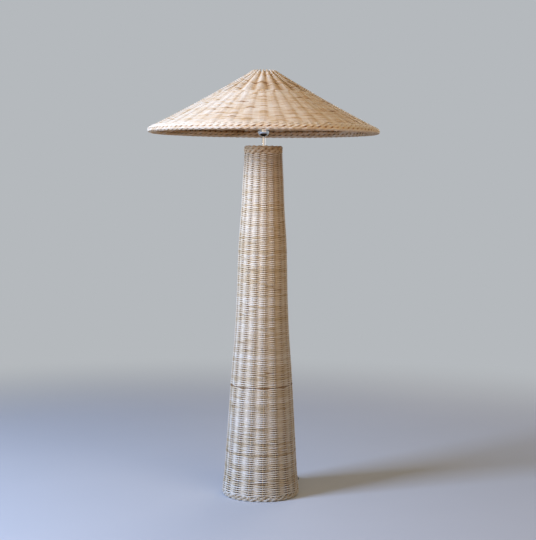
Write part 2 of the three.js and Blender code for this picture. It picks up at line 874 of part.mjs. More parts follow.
// Cord inside the lamp: in from the gland, round a bend through the stem's window, and up to
// the terminals
function innerCord() {
  const start = glandFace + glandInner - gap;
  const bend = evenSteps(0, Math.PI / 2, bendSteps).map((angle) => {
    const height = glandHeight + innerBendRadius * (1 - Math.cos(angle));
    return onGlandSide(innerBendRadius * (1 - Math.sin(angle)), height);
  });
  const rise = evenSteps(glandHeight + 2 * innerBendRadius, holderBottom - gap, 2 * bendSteps);
  const points = [
    onGlandSide(start, glandHeight),
    onGlandSide((start + innerBendRadius) / 2, glandHeight),
    ...bend,
    ...rise.map((height) => onGlandSide(0, height)),
  ];
  return piece('inner_cord', bar(points, cordDiameter / 2, cordSides), blackPlastic);
}

// Free cord from one end point to another through hand-chosen points
function freeCord(name, start, through, end) {
  const points = [...start, ...through.map((point) => new THREE.Vector3(...point)), ...end];
  return piece(name, bar(points, cordDiameter / 2, cordSides), blackPlastic);
}

const switchRight = switchX + switchLength / 2;
const switchLeft = switchX - switchLength / 2;
const switchInlet = cordDiameter;

function floorCord() {
  const leave = glandFace + glandTip;
  const start = [gap, 2 * cordDiameter].map((way) => onGlandSide(leave + way, glandHeight));
  const end = [cordDiameter, gap].map((way) =>
    new THREE.Vector3(switchRight + way, switchY, switchInlet));
  return freeCord('floor_cord', start, floorCordPoints, end);
}

function switchCord() {
  const start = [gap, cordDiameter].map((way) =>
    new THREE.Vector3(switchLeft - way, switchY, switchInlet));
  const end = [2 * cordDiameter, cordDiameter + gap].map((way) =>
    new THREE.Vector3(coilX + way, coilY + coilRadius, cordRest));
  return freeCord('switch_cord', start, switchCordPoints, end);
}

// Coil: in along a flat spiral, up a layer over half a turn where it reverses, and out again
const coilTurns = 2 * coilTurnsInward + 0.5;

function coilPoint(turn) {
  const angle = Math.PI / 2 + turn * 2 * Math.PI;
  const innermost = coilRadius - coilPitch * coilTurnsInward;
  const climb = THREE.MathUtils.clamp(2 * (turn - coilTurnsInward), 0, 1);
  const inward = Math.max(coilTurnsInward - turn, 0);
  const outward = Math.max(turn - coilTurnsInward - 0.5, 0);
  const dip = (coilPitch / 2 / Math.PI) * Math.sin(Math.PI * climb);
  const radius = innermost + coilPitch * (inward + outward) - dip;
  const lift = (coilPitch * (1 - Math.cos(Math.PI * climb))) / 2;
  const x = coilX + radius * Math.cos(angle);
  const y = coilY + radius * Math.sin(angle);
  return new THREE.Vector3(x, y, cordRest + lift);
}

function coilRoute() {
  const turns = evenSteps(0, coilTurns, Math.round(coilTurns * coilSteps)).map(coilPoint);
  const start = new THREE.Vector3(coilX + cordDiameter, coilY + coilRadius, cordRest);
  const end = new THREE.Vector3(coilX + cordDiameter, coilY - coilRadius, cordRest + coilPitch);
  return [start, ...turns, end];
}

// Least space between turns: the distance of the nearest two points of the centreline that lie
// more than half a turn apart, less a diameter
function leastGap(points) {
  const apart = coilSteps / 2;
  let least = Infinity;
  points.forEach((point, index) => {
    points.slice(index + apart).forEach((other) => {
      least = Math.min(least, point.distanceTo(other));
    });
  });
  return least - cordDiameter;
}

function cordCoil() {
  const points = coilRoute();
  console.log(`coil: least gap ${leastGap(points).toFixed(2)} mm`);
  return piece('cord_coil', bar(points, cordDiameter / 2, coilSides), blackPlastic);
}

const plugAxis = plugThickness / 2;
const bootStart = plugX - gap - plugBootLength;

function plugCord() {
  const height = cordRest + coilPitch;
  const start = [cordDiameter + gap, 2 * cordDiameter].map((way) =>
    new THREE.Vector3(coilX + way, coilY - coilRadius, height));
  const end = [2 * cordDiameter, gap].map((way) =>
    new THREE.Vector3(bootStart - way, plugY, plugAxis));
  return freeCord('plug_cord', start, plugCordPoints, end);
}

// Foot switch: base, hollow cover with a round hole, sprung button with a flange under the cover
const coverBottom = switchBaseHeight + gap;
const coverTop = coverBottom + switchCoverHeight;
const buttonSeat = coverTop - switchWall - gap;
const buttonBottom = buttonSeat - buttonFlangeHeight;

function switchHousing() {
  const outline = roundedRectangle(switchLength, switchWidth, switchCorner);
  const pocketOutline = roundedRectangle(switchLength - 2 * switchWall, switchWidth - 2 * switchWall,
    switchCorner - switchWall);
  const pocket = raised(pocketOutline, coverBottom - switchWall, coverTop - switchWall);
  const hole = disc(buttonRadius + gap, coverBottom, coverTop + switchWall, smallSides);
  const shell = cut(raised(outline, coverBottom, coverTop), pocket, hole);
  return [
    piece('switch_base', raised(outline, 0, switchBaseHeight), blackPlastic),
    piece('switch_cover', shell, blackPlastic),
  ];
}

function switchButton() {
  const section = [
    [0, buttonBottom],
    [buttonRadius + buttonFlange, buttonBottom],
    [buttonRadius + buttonFlange, buttonSeat],
    [buttonRadius, buttonSeat],
    [buttonRadius, coverTop + buttonProud - buttonFlangeHeight],
    [buttonRadius - buttonFlangeHeight, coverTop + buttonProud],
    [0, coverTop + buttonProud],
  ];
  return piece('switch_button', turned(section, smallSides), blackPlastic);
}

function switchSpring() {
  const bottom = switchBaseHeight + gap + springWire / 2;
  const top = buttonBottom - gap - springWire / 2;
  const count = springTurns * springSteps;
  const points = Array.from({ length: count + 1 }, (unused, step) => {
    const angle = (step * 2 * Math.PI) / springSteps;
    const x = springRadius * Math.cos(angle);
    const y = springRadius * Math.sin(angle);
    return new THREE.Vector3(x, y, bottom + ((top - bottom) * step) / count);
  });
  return piece('switch_spring', bar(points, springWire / 2, springSides), zinc);
}

function footSwitch() {
  const group = new THREE.Group();
  group.add(...switchHousing(), switchButton(), switchSpring());
  group.position.set(switchX, switchY, 0);
  return group;
}

// Plug with its boot and two pins, lying flat
function plug() {
  const group = new THREE.Group();
  const boot = turned([
    [0, 0],
    [glandTipRadius, 0],
    [plugNeckWidth / 2 - gap, plugBootLength],
    [0, plugBootLength],
  ], smallSides / 2);
  boot.rotateY(Math.PI / 2);
  boot.translate(-gap - plugBootLength, 0, plugAxis);
  const neckShare = 0.35;
  const outline = new THREE.Shape();
  outline.moveTo(0, -plugNeckWidth / 2);
  outline.lineTo(plugLength * neckShare, -plugWidth / 2);
  outline.lineTo(plugLength, -plugWidth / 2);
  outline.lineTo(plugLength, plugWidth / 2);
  outline.lineTo(plugLength * neckShare, plugWidth / 2);
  outline.lineTo(0, plugNeckWidth / 2);
  group.add(piece('plug_boot', boot, blackPlastic));
  group.add(piece('plug_body', raised(outline, 0, plugThickness), blackPlastic));
  [-1, 1].forEach((side, index) => {
    const pin = disc(pinRadius, 0, pinLength, smallSides / 2);
    pin.rotateY(Math.PI / 2);
    const mesh = piece(`plug_pin_${index + 1}`, pin, zinc);
    mesh.position.set(plugLength + gap, (side * pinSpacing) / 2, plugAxis);
    group.add(mesh);
  });
  group.position.set(plugX, plugY, 0);
  return group;
}

const stand = new THREE.Group();
stand.add(piece('column_weave', columnWeave(), cane), ...columnBorders());
stand.add(frameRing('frame_ring_top', bridgeBottom - gap));
stand.add(frameRing('frame_ring_middle', columnHeight * middleRingHeightShare));
stand.add(...frameUprights(), topBridge(), ...stemNuts(), basePlate(), ...footPads());
stand.add(stemPipe(), ...nipple(), holderCup(), holderBody(), ...contacts(), ...terminalScrews());

const shade = new THREE.Group();
shade.add(shadeWeave(), ...shadeBorders(), ...shadeWires(), ...shadeRibs(), ...fitter());

const cord = new THREE.Group();
cord.add(cordGland(), innerCord(), floorCord(), footSwitch());
cord.add(switchCord(), cordCoil(), plugCord(), plug());

const lamp = new THREE.Group();
lamp.add(stand, shade, shadeRing(), ...bulb(), cord);

export default lamp;
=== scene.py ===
import math

import bmesh
import bpy
import numpy as np
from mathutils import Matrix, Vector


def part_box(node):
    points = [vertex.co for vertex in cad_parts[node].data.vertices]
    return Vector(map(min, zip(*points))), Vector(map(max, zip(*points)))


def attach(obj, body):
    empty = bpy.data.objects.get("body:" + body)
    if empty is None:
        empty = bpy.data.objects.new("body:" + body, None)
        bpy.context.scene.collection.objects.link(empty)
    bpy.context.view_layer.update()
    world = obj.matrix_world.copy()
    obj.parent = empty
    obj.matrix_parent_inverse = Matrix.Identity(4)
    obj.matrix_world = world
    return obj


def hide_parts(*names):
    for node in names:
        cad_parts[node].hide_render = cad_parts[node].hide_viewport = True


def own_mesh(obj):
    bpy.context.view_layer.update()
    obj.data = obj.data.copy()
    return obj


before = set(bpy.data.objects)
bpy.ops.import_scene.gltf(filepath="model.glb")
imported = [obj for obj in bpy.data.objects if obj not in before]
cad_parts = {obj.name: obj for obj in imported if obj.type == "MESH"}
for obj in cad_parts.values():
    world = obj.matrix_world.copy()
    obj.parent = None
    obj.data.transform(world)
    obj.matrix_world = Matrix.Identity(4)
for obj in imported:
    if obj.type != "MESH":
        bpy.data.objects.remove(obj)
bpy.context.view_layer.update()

# Camera
# It stands 4.3 m in front of the lamp at the height of a chest, looks a little down, and its
# picture leans by half a degree.
camera_place = (0.0172, -4.348, 1.1142)
camera_down, camera_lean = 1.95, 0.52


def put(name, data):
    """Puts a new object that shows the data into the scene."""
    made = bpy.data.objects.new(name, data)
    bpy.context.scene.collection.objects.link(made)
    return made


lens = bpy.data.cameras.new("camera")
lens.lens = 82.1
lens.shift_y = -0.09
camera = put("camera", lens)
camera.location = camera_place
camera.rotation_euler = [math.radians(angle) for angle in (90 - camera_down, -camera_lean, 0)]
bpy.context.scene.camera = camera


# Cord
# A round black PVC lead: from the gland at the foot of the column to the foot switch, and from
# the switch into a neat coil behind the lamp and out of it to the plug.
def smooth_route(points, steps):
    """A curve through all the points: on each stretch a cubic whose end slopes come from the
    neighbours, weighted by the square roots of the distances between them."""
    points = np.array(points, float)
    points = np.vstack([2 * points[0] - points[1], points, 2 * points[-1] - points[-2]])
    root = np.sqrt(np.linalg.norm(np.diff(points, axis=0), axis=1))[:, None]
    before, here, after = root[:-2], root[1:-1], root[2:]
    p0, p1, p2, p3 = points[:-3], points[1:-2], points[2:-1], points[3:]
    leave = here * ((p1 - p0) / before - (p2 - p0) / (before + here) + (p2 - p1) / here)
    arrive = here * ((p2 - p1) / here - (p3 - p1) / (here + after) + (p3 - p2) / after)
    t = (np.arange(steps) / steps)[:, None, None]
    curve = (2 * t**3 - 3 * t**2 + 1) * p1 + (t**3 - 2 * t**2 + t) * leave
    curve = curve + (3 * t**2 - 2 * t**3) * p2 + (t**3 - t**2) * arrive
    return np.vstack([curve.transpose(1, 0, 2).reshape(-1, points.shape[1]), points[-2:-1]])


def section_axes(path, outward, closed):
    """At each point of the paths (path, step, xyz): the outward direction made square to the
    path, and the direction across, which is the path's own crossed with it."""
    if closed:
        along = np.roll(path, -1, 1) - np.roll(path, 1, 1)
    else:
        along = np.gradient(path, axis=1)
    along = along / np.linalg.norm(along, axis=-1, keepdims=True)
    outward = outward - (outward * along).sum(-1, keepdims=True) * along
    outward = outward / np.linalg.norm(outward, axis=-1, keepdims=True)
    return outward, np.cross(along, outward)


def once_round(count):
    """Angles at even steps once round."""
    return 2 * np.pi * np.arange(count) / count


def carried_oval(path, outward, tall, deep, sides, closed=False):
    """Rings of an oval carried along the paths: the path's point, plus half of deep outwards times
    the cosine of an angle, plus half of tall across times its sine. Tall may change by step."""
    outward, across = section_axes(path, np.broadcast_to(outward, path.shape), closed)
    angle = once_round(sides)[:, None]
    half_tall = np.broadcast_to(tall, path.shape[:2])[:, :, None, None] / 2
    out_part = deep / 2 * outward[:, :, None] * np.cos(angle)
    return path[:, :, None] + out_part + half_tall * across[:, :, None] * np.sin(angle)


def corner_values(steps, sides):
    """Values at the four corners of each face of a grid, from those at its steps and sides."""
    faces = np.broadcast_shapes(steps[:, 1:, None].shape, (1, 1, len(sides) - 1))
    values = np.empty(faces + (4, 2))
    values[..., [0, 1], 0] = steps[:, :-1, None, None]
    values[..., [2, 3], 0] = steps[:, 1:, None, None]
    values[..., [0, 3], 1] = sides[:-1, None]
    values[..., [1, 2], 1] = sides[1:, None]
    return values


def mesh_of(name, rings, closed=False, tone=None, strip=None, sharp=None):
    """Skins rings of points (path, step, side, xyz) with four-sided faces and closes the ends.
    The map 'lengthwise' holds metres along the path and the share of the way round. With strip,
    the map 'OFBake' lays that many faces of each path side by side, one strip under another,
    with a margin between two strips."""
    margin = 0.05
    paths, steps, sides = rings.shape[:3]
    number = np.arange(paths * steps * sides).reshape(paths, steps, sides)
    centre = rings.mean(2)
    if closed:
        number = np.concatenate([number, number[:, :1]], 1)
        centre = np.concatenate([centre, centre[:, :1]], 1)
    number = np.concatenate([number, number[:, :, :1]], 2)
    corners = [number[:, :-1, :-1], number[:, :-1, 1:], number[:, 1:, 1:], number[:, 1:, :-1]]
    faces = np.stack(corners, -1)
    spans = faces.shape[1]
    length = np.cumsum(np.linalg.norm(np.diff(centre, axis=1), axis=-1), axis=1)
    length = np.concatenate([np.zeros((paths, 1)), length], 1)
    around = np.arange(sides + 1) / sides
    maps = {"lengthwise": corner_values(length, around)}
    if strip:
        per_path = math.ceil(spans / strip)
        row = np.arange(paths)[:, None] * per_path + np.arange(spans) // strip
        bake = corner_values(np.broadcast_to(np.arange(spans + 1.0), (paths, spans + 1)), around)
        bake[..., 0] = (bake[..., 0] - np.arange(spans)[:, None, None] // strip * strip) / strip
        inside = margin + (1 - 2 * margin) * bake[..., 1]
        bake[..., 1] = (row[..., None, None] + inside) / (paths * per_path)
        maps["OFBake"] = bake
    loops, sizes = [faces.ravel()], [np.full(faces.size // 4, 4)]
    if not closed:
        loops += [number[:, 0, -2::-1].ravel(), number[:, -1, :-1].ravel()]
        sizes.append(np.full(2 * paths, sides))
    loops, sizes = np.concatenate(loops), np.concatenate(sizes)
    mesh = bpy.data.meshes.new(name)
    mesh.vertices.add(paths * steps * sides)
    mesh.vertices.foreach_set("co", rings.astype(np.float32).ravel())
    mesh.loops.add(len(loops))
    mesh.loops.foreach_set("vertex_index", loops.astype(np.int32))
    mesh.polygons.add(len(sizes))
    mesh.polygons.foreach_set("loop_start", (np.cumsum(sizes) - sizes).astype(np.int32))
    for label, values in maps.items():
        flat = np.zeros((len(loops), 2), np.float32)
        flat[:faces.size] = values.reshape(-1, 2)
        mesh.uv_layers.new(name=label).data.foreach_set("uv", flat.ravel())
    if tone is not None:
        tone = tone.reshape(tone.shape + (1,) * (3 - tone.ndim))
        tones = np.broadcast_to(tone, (paths, steps, sides)).astype(np.float32)
        mesh.attributes.new("tone", "FLOAT", "POINT").data.foreach_set("value", tones.ravel())
    mesh.update(calc_edges=True)
    mesh.shade_smooth()
    if sharp:
        mesh.set_sharp_from_angle(angle=math.radians(sharp))
    return mesh


def piece(mesh, body, finish, replaces=()):
    """Puts a mesh into the scene as a piece of the lamp, on its body, in its finish, in place of
    the CAD nodes that it replaces."""
    made = put(mesh.name, mesh)
    mesh.materials.append(finish)
    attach(made, body)
    if replaces:
        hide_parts(*replaces)
    return made


def skinned(name, rings, body, slot, finish, replaces=(), **skin):
    """A piece whose mesh is skinned over rings of points."""
    return piece(mesh_of(name, rings, **skin), body, finish, replaces)


def linear(colour):
    """Linear red, green, blue and alpha of an sRGB colour written as #rrggbb."""
    parts = [int(colour[place:place + 2], 16) / 255 for place in (1, 3, 5)]
    return [part / 12.92 if part < 0.04045 else ((part + 0.055) / 1.055) ** 2.4
            for part in parts] + [1]


def add(tree, kind, inputs=(), **settings):
    """Adds a shader node of a kind: settings are its properties, and inputs, by name or number,
    are values, or the sockets that feed them, or nodes, of which the first live output does."""
    made = tree.nodes.new("ShaderNode" + kind)
    for key, value in settings.items():
        setattr(made, key, value)
    for key, value in dict(inputs).items():
        if isinstance(value, bpy.types.Node):
            value = next(socket for socket in value.outputs if socket.enabled)
        if isinstance(value, bpy.types.NodeSocket):
            tree.links.new(value, made.inputs[key])
        else:
            made.inputs[key].default_value = value
    return made


def new_finish(name):
    """An empty material, its node tree, and the place on the lamp that its patterns read."""
    material = bpy.data.materials.new(name)
    material.use_nodes = True
    tree = material.node_tree
    tree.nodes.clear()
    return material, tree, add(tree, "TexCoord").outputs["Object"]


def close_finish(tree, relief, strength, depth, inputs):
    """Ends a material: a shader with its inputs over a bump, whose depth is in metres."""
    bump = add(tree, "Bump", {"Height": relief, "Strength": strength, "Distance": depth})
    shader = add(tree, "BsdfPrincipled", {**inputs, "Normal": bump})
    add(tree, "OutputMaterial", {"Surface": shader})


def moulded_plastic(name, colour, worn, roughness, grain):
    """Moulded plastic: an even colour that dust greys a little, in clouds 17 mm wide, over a fine
    spark-eroded grain, whose size is in metres."""
    clouds_per_metre = 60.0
    material, tree, place = new_finish(name)
    fine = add(tree, "TexNoise", {"Vector": place, "Scale": 1 / grain, "Detail": 3.0})
    broad = add(tree, "TexNoise", {"Vector": place, "Scale": clouds_per_metre, "Detail": 4.0})
    dust = add(tree, "MapRange", {0: broad, 1: 0.45, 2: 0.75})
    mixed = add(tree, "Mix", {0: dust, 6: linear(colour), 7: linear(worn)}, data_type="RGBA")
    gloss = add(tree, "MapRange", {0: broad, 3: roughness, 4: roughness + 0.12})
    close_finish(tree, fine, 0.25, 0.0001, {
        "Base Color": mixed, "Roughness": gloss, "IOR": 1.5})
    return material


cord_size = 0.0065
cord_sides = 12
coil_centre = (-0.058, 0.200)
coil_radius = 0.050
coil_pitch = 0.0072
coil_turns_inward = 3
coil_turns = 2 * coil_turns_inward + 0.5
coil_steps_per_turn = 24
cord_rest = 0.0034
upwards = np.array([0.0, 0.0, 1.0])

# Extruded PVC: near black and satin, with a little dust
cord_sheath = moulded_plastic("extruded_pvc", "#141415", "#2b2a29", roughness=0.42, grain=0.0004)

floor_route = [
    (0.10355, 0.12341, 0.028), (0.11172, 0.13314, 0.028), (0.1205, 0.1446, 0.0252),
    (0.1266, 0.1546, 0.0198), (0.1316, 0.1652, 0.0128), (0.1355, 0.1766, 0.0069),
    (0.1382, 0.189, 0.0039), (0.1392, 0.202, 0.0034), (0.138, 0.215, 0.0034),
    (0.134, 0.2274, 0.0034), (0.127, 0.2384, 0.0034), (0.1174, 0.247, 0.0034),
    (0.106, 0.2526, 0.0034), (0.094, 0.2548, 0.0042), (0.083, 0.255, 0.0058),
    (0.0765, 0.255, 0.0065), (0.0703, 0.255, 0.0065),
]
turn = np.linspace(0, coil_turns, round(coil_turns * coil_steps_per_turn) + 1)
climb = np.clip(2 * (turn - coil_turns_inward), 0, 1)
spread = np.maximum(coil_turns_inward - turn, 0) + np.maximum(turn - coil_turns_inward - 0.5, 0)
dip = coil_pitch / 2 / np.pi * np.sin(np.pi * climb)
coil_reach = coil_radius - coil_pitch * coil_turns_inward + coil_pitch * spread - dip
coil_angle = np.pi / 2 + 2 * np.pi * turn
coil_route = np.stack([
    coil_centre[0] + coil_reach * np.cos(coil_angle),
    coil_centre[1] + coil_reach * np.sin(coil_angle),
    cord_rest + coil_pitch * (1 - np.cos(np.pi * climb)) / 2,
], -1)
into_coil = [
    (0.0057, 0.255, 0.0065), (-0.0005, 0.255, 0.0065), (-0.018, 0.2542, 0.0046),
    (-0.030, 0.2523, 0.0034), (-0.045, 0.250, 0.0034), (-0.0515, 0.250, 0.0034),
]
out_of_coil = [
    (-0.0515, 0.150, 0.0106), (-0.045, 0.150, 0.0106), (-0.030, 0.1516, 0.0084),
    (-0.018, 0.1556, 0.0052), (-0.0075, 0.1616, 0.0034), (0.0025, 0.1684, 0.0034),
    (0.013, 0.1748, 0.0044), (0.0267, 0.180, 0.00685), (0.0394, 0.180, 0.00685),
]


def cord_run(name, points, steps, replaces):
    """A round cord along a smooth curve through the points, and the curve's own points."""
    path = smooth_route(points, steps)
    rings = carried_oval(path[None], upwards, cord_size, cord_size, cord_sides)
    return skinned(name, rings, "stand", "cord_sheath", cord_sheath, replaces), path


floor_lead, floor_path = cord_run("lead_to_switch", floor_route, steps=5, replaces=["floor_cord"])
coiled_points = np.vstack([into_coil, coil_route, out_of_coil])
coiled_lead, coiled_path = cord_run("lead_to_plug", coiled_points, steps=3,
                                    replaces=["switch_cord", "cord_coil", "plug_cord"])

# Cord tie
# A black strip of woven hook tape, 9 mm wide, goes once round the coil's turns and holds them.
tie_width = 0.009
tie_thickness = 0.0009
tie_reach = 0.0410
tie_half_span = 0.0110
tie_half_height = 0.0064
tie_power = 0.35
tie_steps = 48

# Woven nylon: its ribs across the tape, 1.7 mm apart so that they show, break up the light
tie_tape, tree, place = new_finish("woven_nylon_tape")
ribs = add(tree, "TexWave", {"Vector": place, "Scale": 190.0, "Distortion": 1.5},
           bands_direction="Y")
yarn = add(tree, "Mix", {0: ribs.outputs[1], 6: linear("#101011"), 7: linear("#242426")},
           data_type="RGBA")
close_finish(tree, ribs.outputs[1], 0.5, 0.0002, {
    "Base Color": yarn, "Roughness": 0.8, "IOR": 1.5})


def squared_circle(angle, power):
    """A circle of radius one pushed out towards a square: the cosine and the sine of the angle,
    each raised to a power below one, with its sign kept."""
    return [np.sign(value) * np.abs(value)**power for value in (np.cos(angle), np.sin(angle))]


tie_across, tie_up = squared_circle(-once_round(tie_steps), tie_power)
tie_path = np.stack([coil_centre[0] - tie_reach - tie_half_span * tie_across,
                     np.full(tie_steps, coil_centre[1]),
                     cord_rest + coil_pitch / 2 + tie_half_height * tie_up], -1)
tie_outward = tie_path - tie_path.mean(0)
tie_rings = carried_oval(tie_path[None], tie_outward[None], tie_width, tie_thickness, 12,
                         closed=True)
skinned("coil_tie", tie_rings, "stand", "cord_sheath", tie_tape, closed=True)


# Base plate and its pads
# A round cast-iron plate in black lacquer, 10 mm thick, weighs the foot down. It rests on four
# pads of pressed wool felt, which are glued into its underside.
def mottled(name, colour, second, metallic, roughness, spots, depth):
    """Two near colours that meet in soft spots, with an uneven gloss and a bump, for a metal,
    its coating or a felt. The spots' size and the bump's depth are in metres."""
    material, tree, place = new_finish(name)
    broad = add(tree, "TexNoise", {"Vector": place, "Scale": 1 / spots, "Detail": 5.0})
    mixed = add(tree, "Mix", {0: broad, 6: linear(colour), 7: linear(second)}, data_type="RGBA")
    gloss = add(tree, "MapRange", {0: broad, 1: 0.3, 2: 0.7, 3: roughness, 4: roughness + 0.15})
    close_finish(tree, broad, 0.3, depth, {
        "Base Color": mixed, "Metallic": metallic, "Roughness": gloss})
    return material


def eased_copy(node, body, finish, edge, sharp=30):
    """A CAD node's own mesh with its loose triangles merged, so that round faces shade round,
    and with its sharp edges eased by a narrow bevel."""
    shape = bmesh.new()
    shape.from_mesh(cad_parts[node].data)
    bmesh.ops.remove_doubles(shape, verts=shape.verts, dist=1e-6)
    bmesh.ops.dissolve_limit(shape, angle_limit=math.radians(1), verts=shape.verts,
                             edges=shape.edges)
    mesh = bpy.data.meshes.new("eased_" + node)
    shape.to_mesh(mesh)
    shape.free()
    mesh.shade_smooth()
    mesh.set_sharp_from_angle(angle=math.radians(sharp))
    made = piece(mesh, body, finish, [node])
    bevel = made.modifiers.new("eased_edges", "BEVEL")
    bevel.width = edge
    bevel.segments = 2
    bevel.limit_method = "ANGLE"
    bevel.angle_limit = math.radians(sharp)


# Cast iron under black lacquer: the sand's grain still shows as low pits
cast_iron = mottled("lacquered_cast_iron", "#262524", "#33312e", metallic=0.0, roughness=0.5,
                    spots=0.002, depth=0.0004)
eased_copy("base_plate", "stand", cast_iron, edge=0.0008)
# Pressed wool felt: quite matt, with lighter tufts
wool_felt = mottled("pressed_wool_felt", "#4b4742", "#5d5850", metallic=0.0, roughness=0.85,
                    spots=0.0008, depth=0.0003)
for number in range(1, 5):
    eased_copy(f"foot_pad_{number}", "stand", wool_felt, edge=0.0006)

# Column frame
# Two rings and four uprights of 5 mm steel wire, welded, and a flat bridge that carries the
# stem. All are dipped in a dark satin lacquer before the weaver starts.

# Dark lacquer over wire: satin, slightly browner where it is thin
lacquered_steel = mottled("dark_lacquered_steel", "#2a2622", "#3a322a", metallic=0.0,
                          roughness=0.38, spots=0.004, depth=0.0001)
eased_copy("top_bridge", "stand", lacquered_steel, edge=0.0004)
for name in ["frame_ring_top", "frame_ring_middle"] + [f"frame_upright_{n}" for n in range(1, 5)]:
    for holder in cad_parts[name].material_slots:
        holder.material = lacquered_steel

# Stem
# A chromed steel tube on the column's axis, from the base plate up to the lampholder. Zinc-plated
# hexagon nuts clamp the plate and the bridge on it.

# Polished chrome: a mirror with hardly a scratch
chrome = mottled("polished_chrome", "#d9dce0", "#c9cdd3", metallic=1.0, roughness=0.04,
                 spots=0.03, depth=0.00002)
eased_copy("stem_pipe", "stand", chrome, edge=0.0003)
# Zinc plate: blue-grey, with the faint cloud of the bath
zinc_plate = mottled("zinc_plate", "#b9bcc0", "#a3a6a8", metallic=1.0, roughness=0.3, spots=0.002,
                     depth=0.00005)
for name in ("plate_nut_lower", "plate_nut_upper", "bridge_nut"):
    eased_copy(name, "stand", zinc_plate, edge=0.0005)

# Column: stakes
# Seventeen round rattan stakes, 3 mm thick, stand on the foot and lean inwards to the top with
# a slight twist, which the weaver's pull gives them.
column_height = 1.230
column_foot_radius = 0.134
column_top_radius = 0.066
column_flare = 1.17
# Each swell: how far out, at what height, and how far up and down it reaches
column_swells = ((0.0028, 0.02, 0.04), (0.0008, 0.45, 0.08), (-0.0026, 0.575, 0.16),
                 (0.0036, 0.885, 0.11), (0.0015, 1.10, 0.07))
weave_proud = 0.0020
stake_count = 17
stake_size = 0.0032
stake_steps = 90
stake_sides = 8
stake_in_border = 0.006
stake_start = math.radians(3.5 - 90)
stake_twist = math.radians(4.5)
weaver_deep = 0.0030
weave_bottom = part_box("column_weave")[0].z
weave_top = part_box("column_weave")[1].z
over_stake = (stake_size + weaver_deep) / 2


def column_middle(height):
    """Radius of the middle of the column's wall: a power curve from foot to top, pulled in and
    let out by a few millimetres where the weaver's hand changed."""
    share = np.clip(1 - height / column_height, 0, 1)
    radius = column_top_radius + (column_foot_radius - column_top_radius) * share**column_flare
    for swell, at, reach in column_swells:
        radius = radius + swell * np.exp(-((height - at) / reach) ** 2)
    return radius + weave_proud - over_stake - weaver_deep / 2


def stake_azimuth(height):
    """Where the first stake stands at a height: it turns steadily on its way up."""
    return stake_start + stake_twist * height / column_height


def around_axis(radius, azimuth, height):
    """Points at a radius, an azimuth and a height from the lamp's axis."""
    radius, azimuth, height = np.broadcast_arrays(radius, azimuth, height)
    return np.stack([radius * np.cos(azimuth), radius * np.sin(azimuth), height], -1)


def rattan(name, pale, honey, brown, roughness, fibres_round, painted_bounce=0.0):
    """Rattan core, peeled and dried. It gives the eye canes that run from cream to honey, brown
    where bark stayed or water stained them, nearly black in a border's hollows, which is painted
    shade, with long fibres that catch the light and a dry satin surface. A streak is 30 mm long, a
    fibre 17 mm and a patch of one hue 110 mm wide. The last argument is how much a painted cool
    light, in place of the light thrown back from the floor, tints the foot; the tint fades out one
    metre higher."""
    streaks_per_metre, fibres_per_metre, patches_per_metre = 34.0, 60.0, 9.0
    streaks_round = 4.0
    # The hollow colour is painted shade; the cool tint is painted light from the floor, laid on
    # towards the foot
    hollow_shade, bounce_tint, bounce_height = "#33241a", "#e2edff", 1.0
    material, tree, place = new_finish(name)
    tone = add(tree, "Attribute", attribute_name="tone").outputs["Fac"]
    strand = add(tree, "UVMap", uv_map="lengthwise")
    drawn = add(tree, "Mapping", {"Vector": strand,
                                  "Scale": (streaks_per_metre, streaks_round, 1.0)})
    streak = add(tree, "TexNoise", {"Vector": drawn, "Scale": 1.0, "Detail": 4.0,
                                    "Roughness": 0.65})
    combed = add(tree, "Mapping", {"Vector": strand,
                                   "Scale": (fibres_per_metre, fibres_round, 1.0)})
    fibres = add(tree, "TexNoise", {"Vector": combed, "Scale": 1.0, "Detail": 2.0})
    patch = add(tree, "TexNoise", {"Vector": place, "Scale": patches_per_metre, "Detail": 3.0})
    for noise, share in ((streak, 0.9), (patch, 0.35)):
        level = add(tree, "Math", {0: noise, 1: 0.5}, operation="SUBTRACT")
        tone = add(tree, "Math", {0: level, 1: share, 2: tone}, operation="MULTIPLY_ADD")
    colour = linear(pale)
    for shade, low, high in ((honey, 0.10, 0.62), (brown, 0.58, 1.0), (hollow_shade, 1.05, 1.5)):
        share = add(tree, "MapRange", {0: tone, 1: low, 2: high}, interpolation_type="SMOOTHSTEP")
        colour = add(tree, "Mix", {0: share, 6: colour, 7: linear(shade)}, data_type="RGBA")
    # Painted cool light from the floor, strongest at the foot
    if painted_bounce:
        level = add(tree, "SeparateXYZ", {0: place})
        share = add(tree, "MapRange", {0: level.outputs["Z"], 1: 0.0, 2: bounce_height, 3: painted_bounce,
                                       4: 0.0})
        colour = add(tree, "Mix", {0: share, 6: colour, 7: linear(bounce_tint)},
                     data_type="RGBA", blend_type="MULTIPLY")
    gloss = add(tree, "MapRange", {0: streak, 1: 0.3, 2: 0.7, 3: roughness + 0.08,
                                   4: roughness - 0.1})
    close_finish(tree, fibres, 0.35, 0.0002, {
        "Base Color": colour, "Roughness": gloss, "IOR": 1.45})
    return material


# Stakes of thinner core, coloured darker than the weavers as painted shade in the holes where they
# show only as dots between the weavers
shaded_stake_core = rattan("shade_darkened_rattan_stakes", "#c4a67a", "#a98858", "#765636", roughness=0.6,
                    fibres_round=7.0)

stake_heights = np.linspace(weave_bottom - stake_in_border, weave_top + stake_in_border,
                            stake_steps)
stake_turns = once_round(stake_count)[:, None]
stake_angles = stake_azimuth(stake_heights) + stake_turns
stake_paths = around_axis(column_middle(stake_heights), stake_angles, stake_heights)
stake_rings = carried_oval(stake_paths, around_axis(1.0, stake_angles, 0.0), stake_size,
                           stake_size, stake_sides)
stake_tone = np.random.default_rng(11).uniform(0.3, 0.8, (stake_count, 1))
skinned("column_stakes", stake_rings, "stand", "column_cane", shaded_stake_core, tone=stake_tone,
        strip=stake_steps)

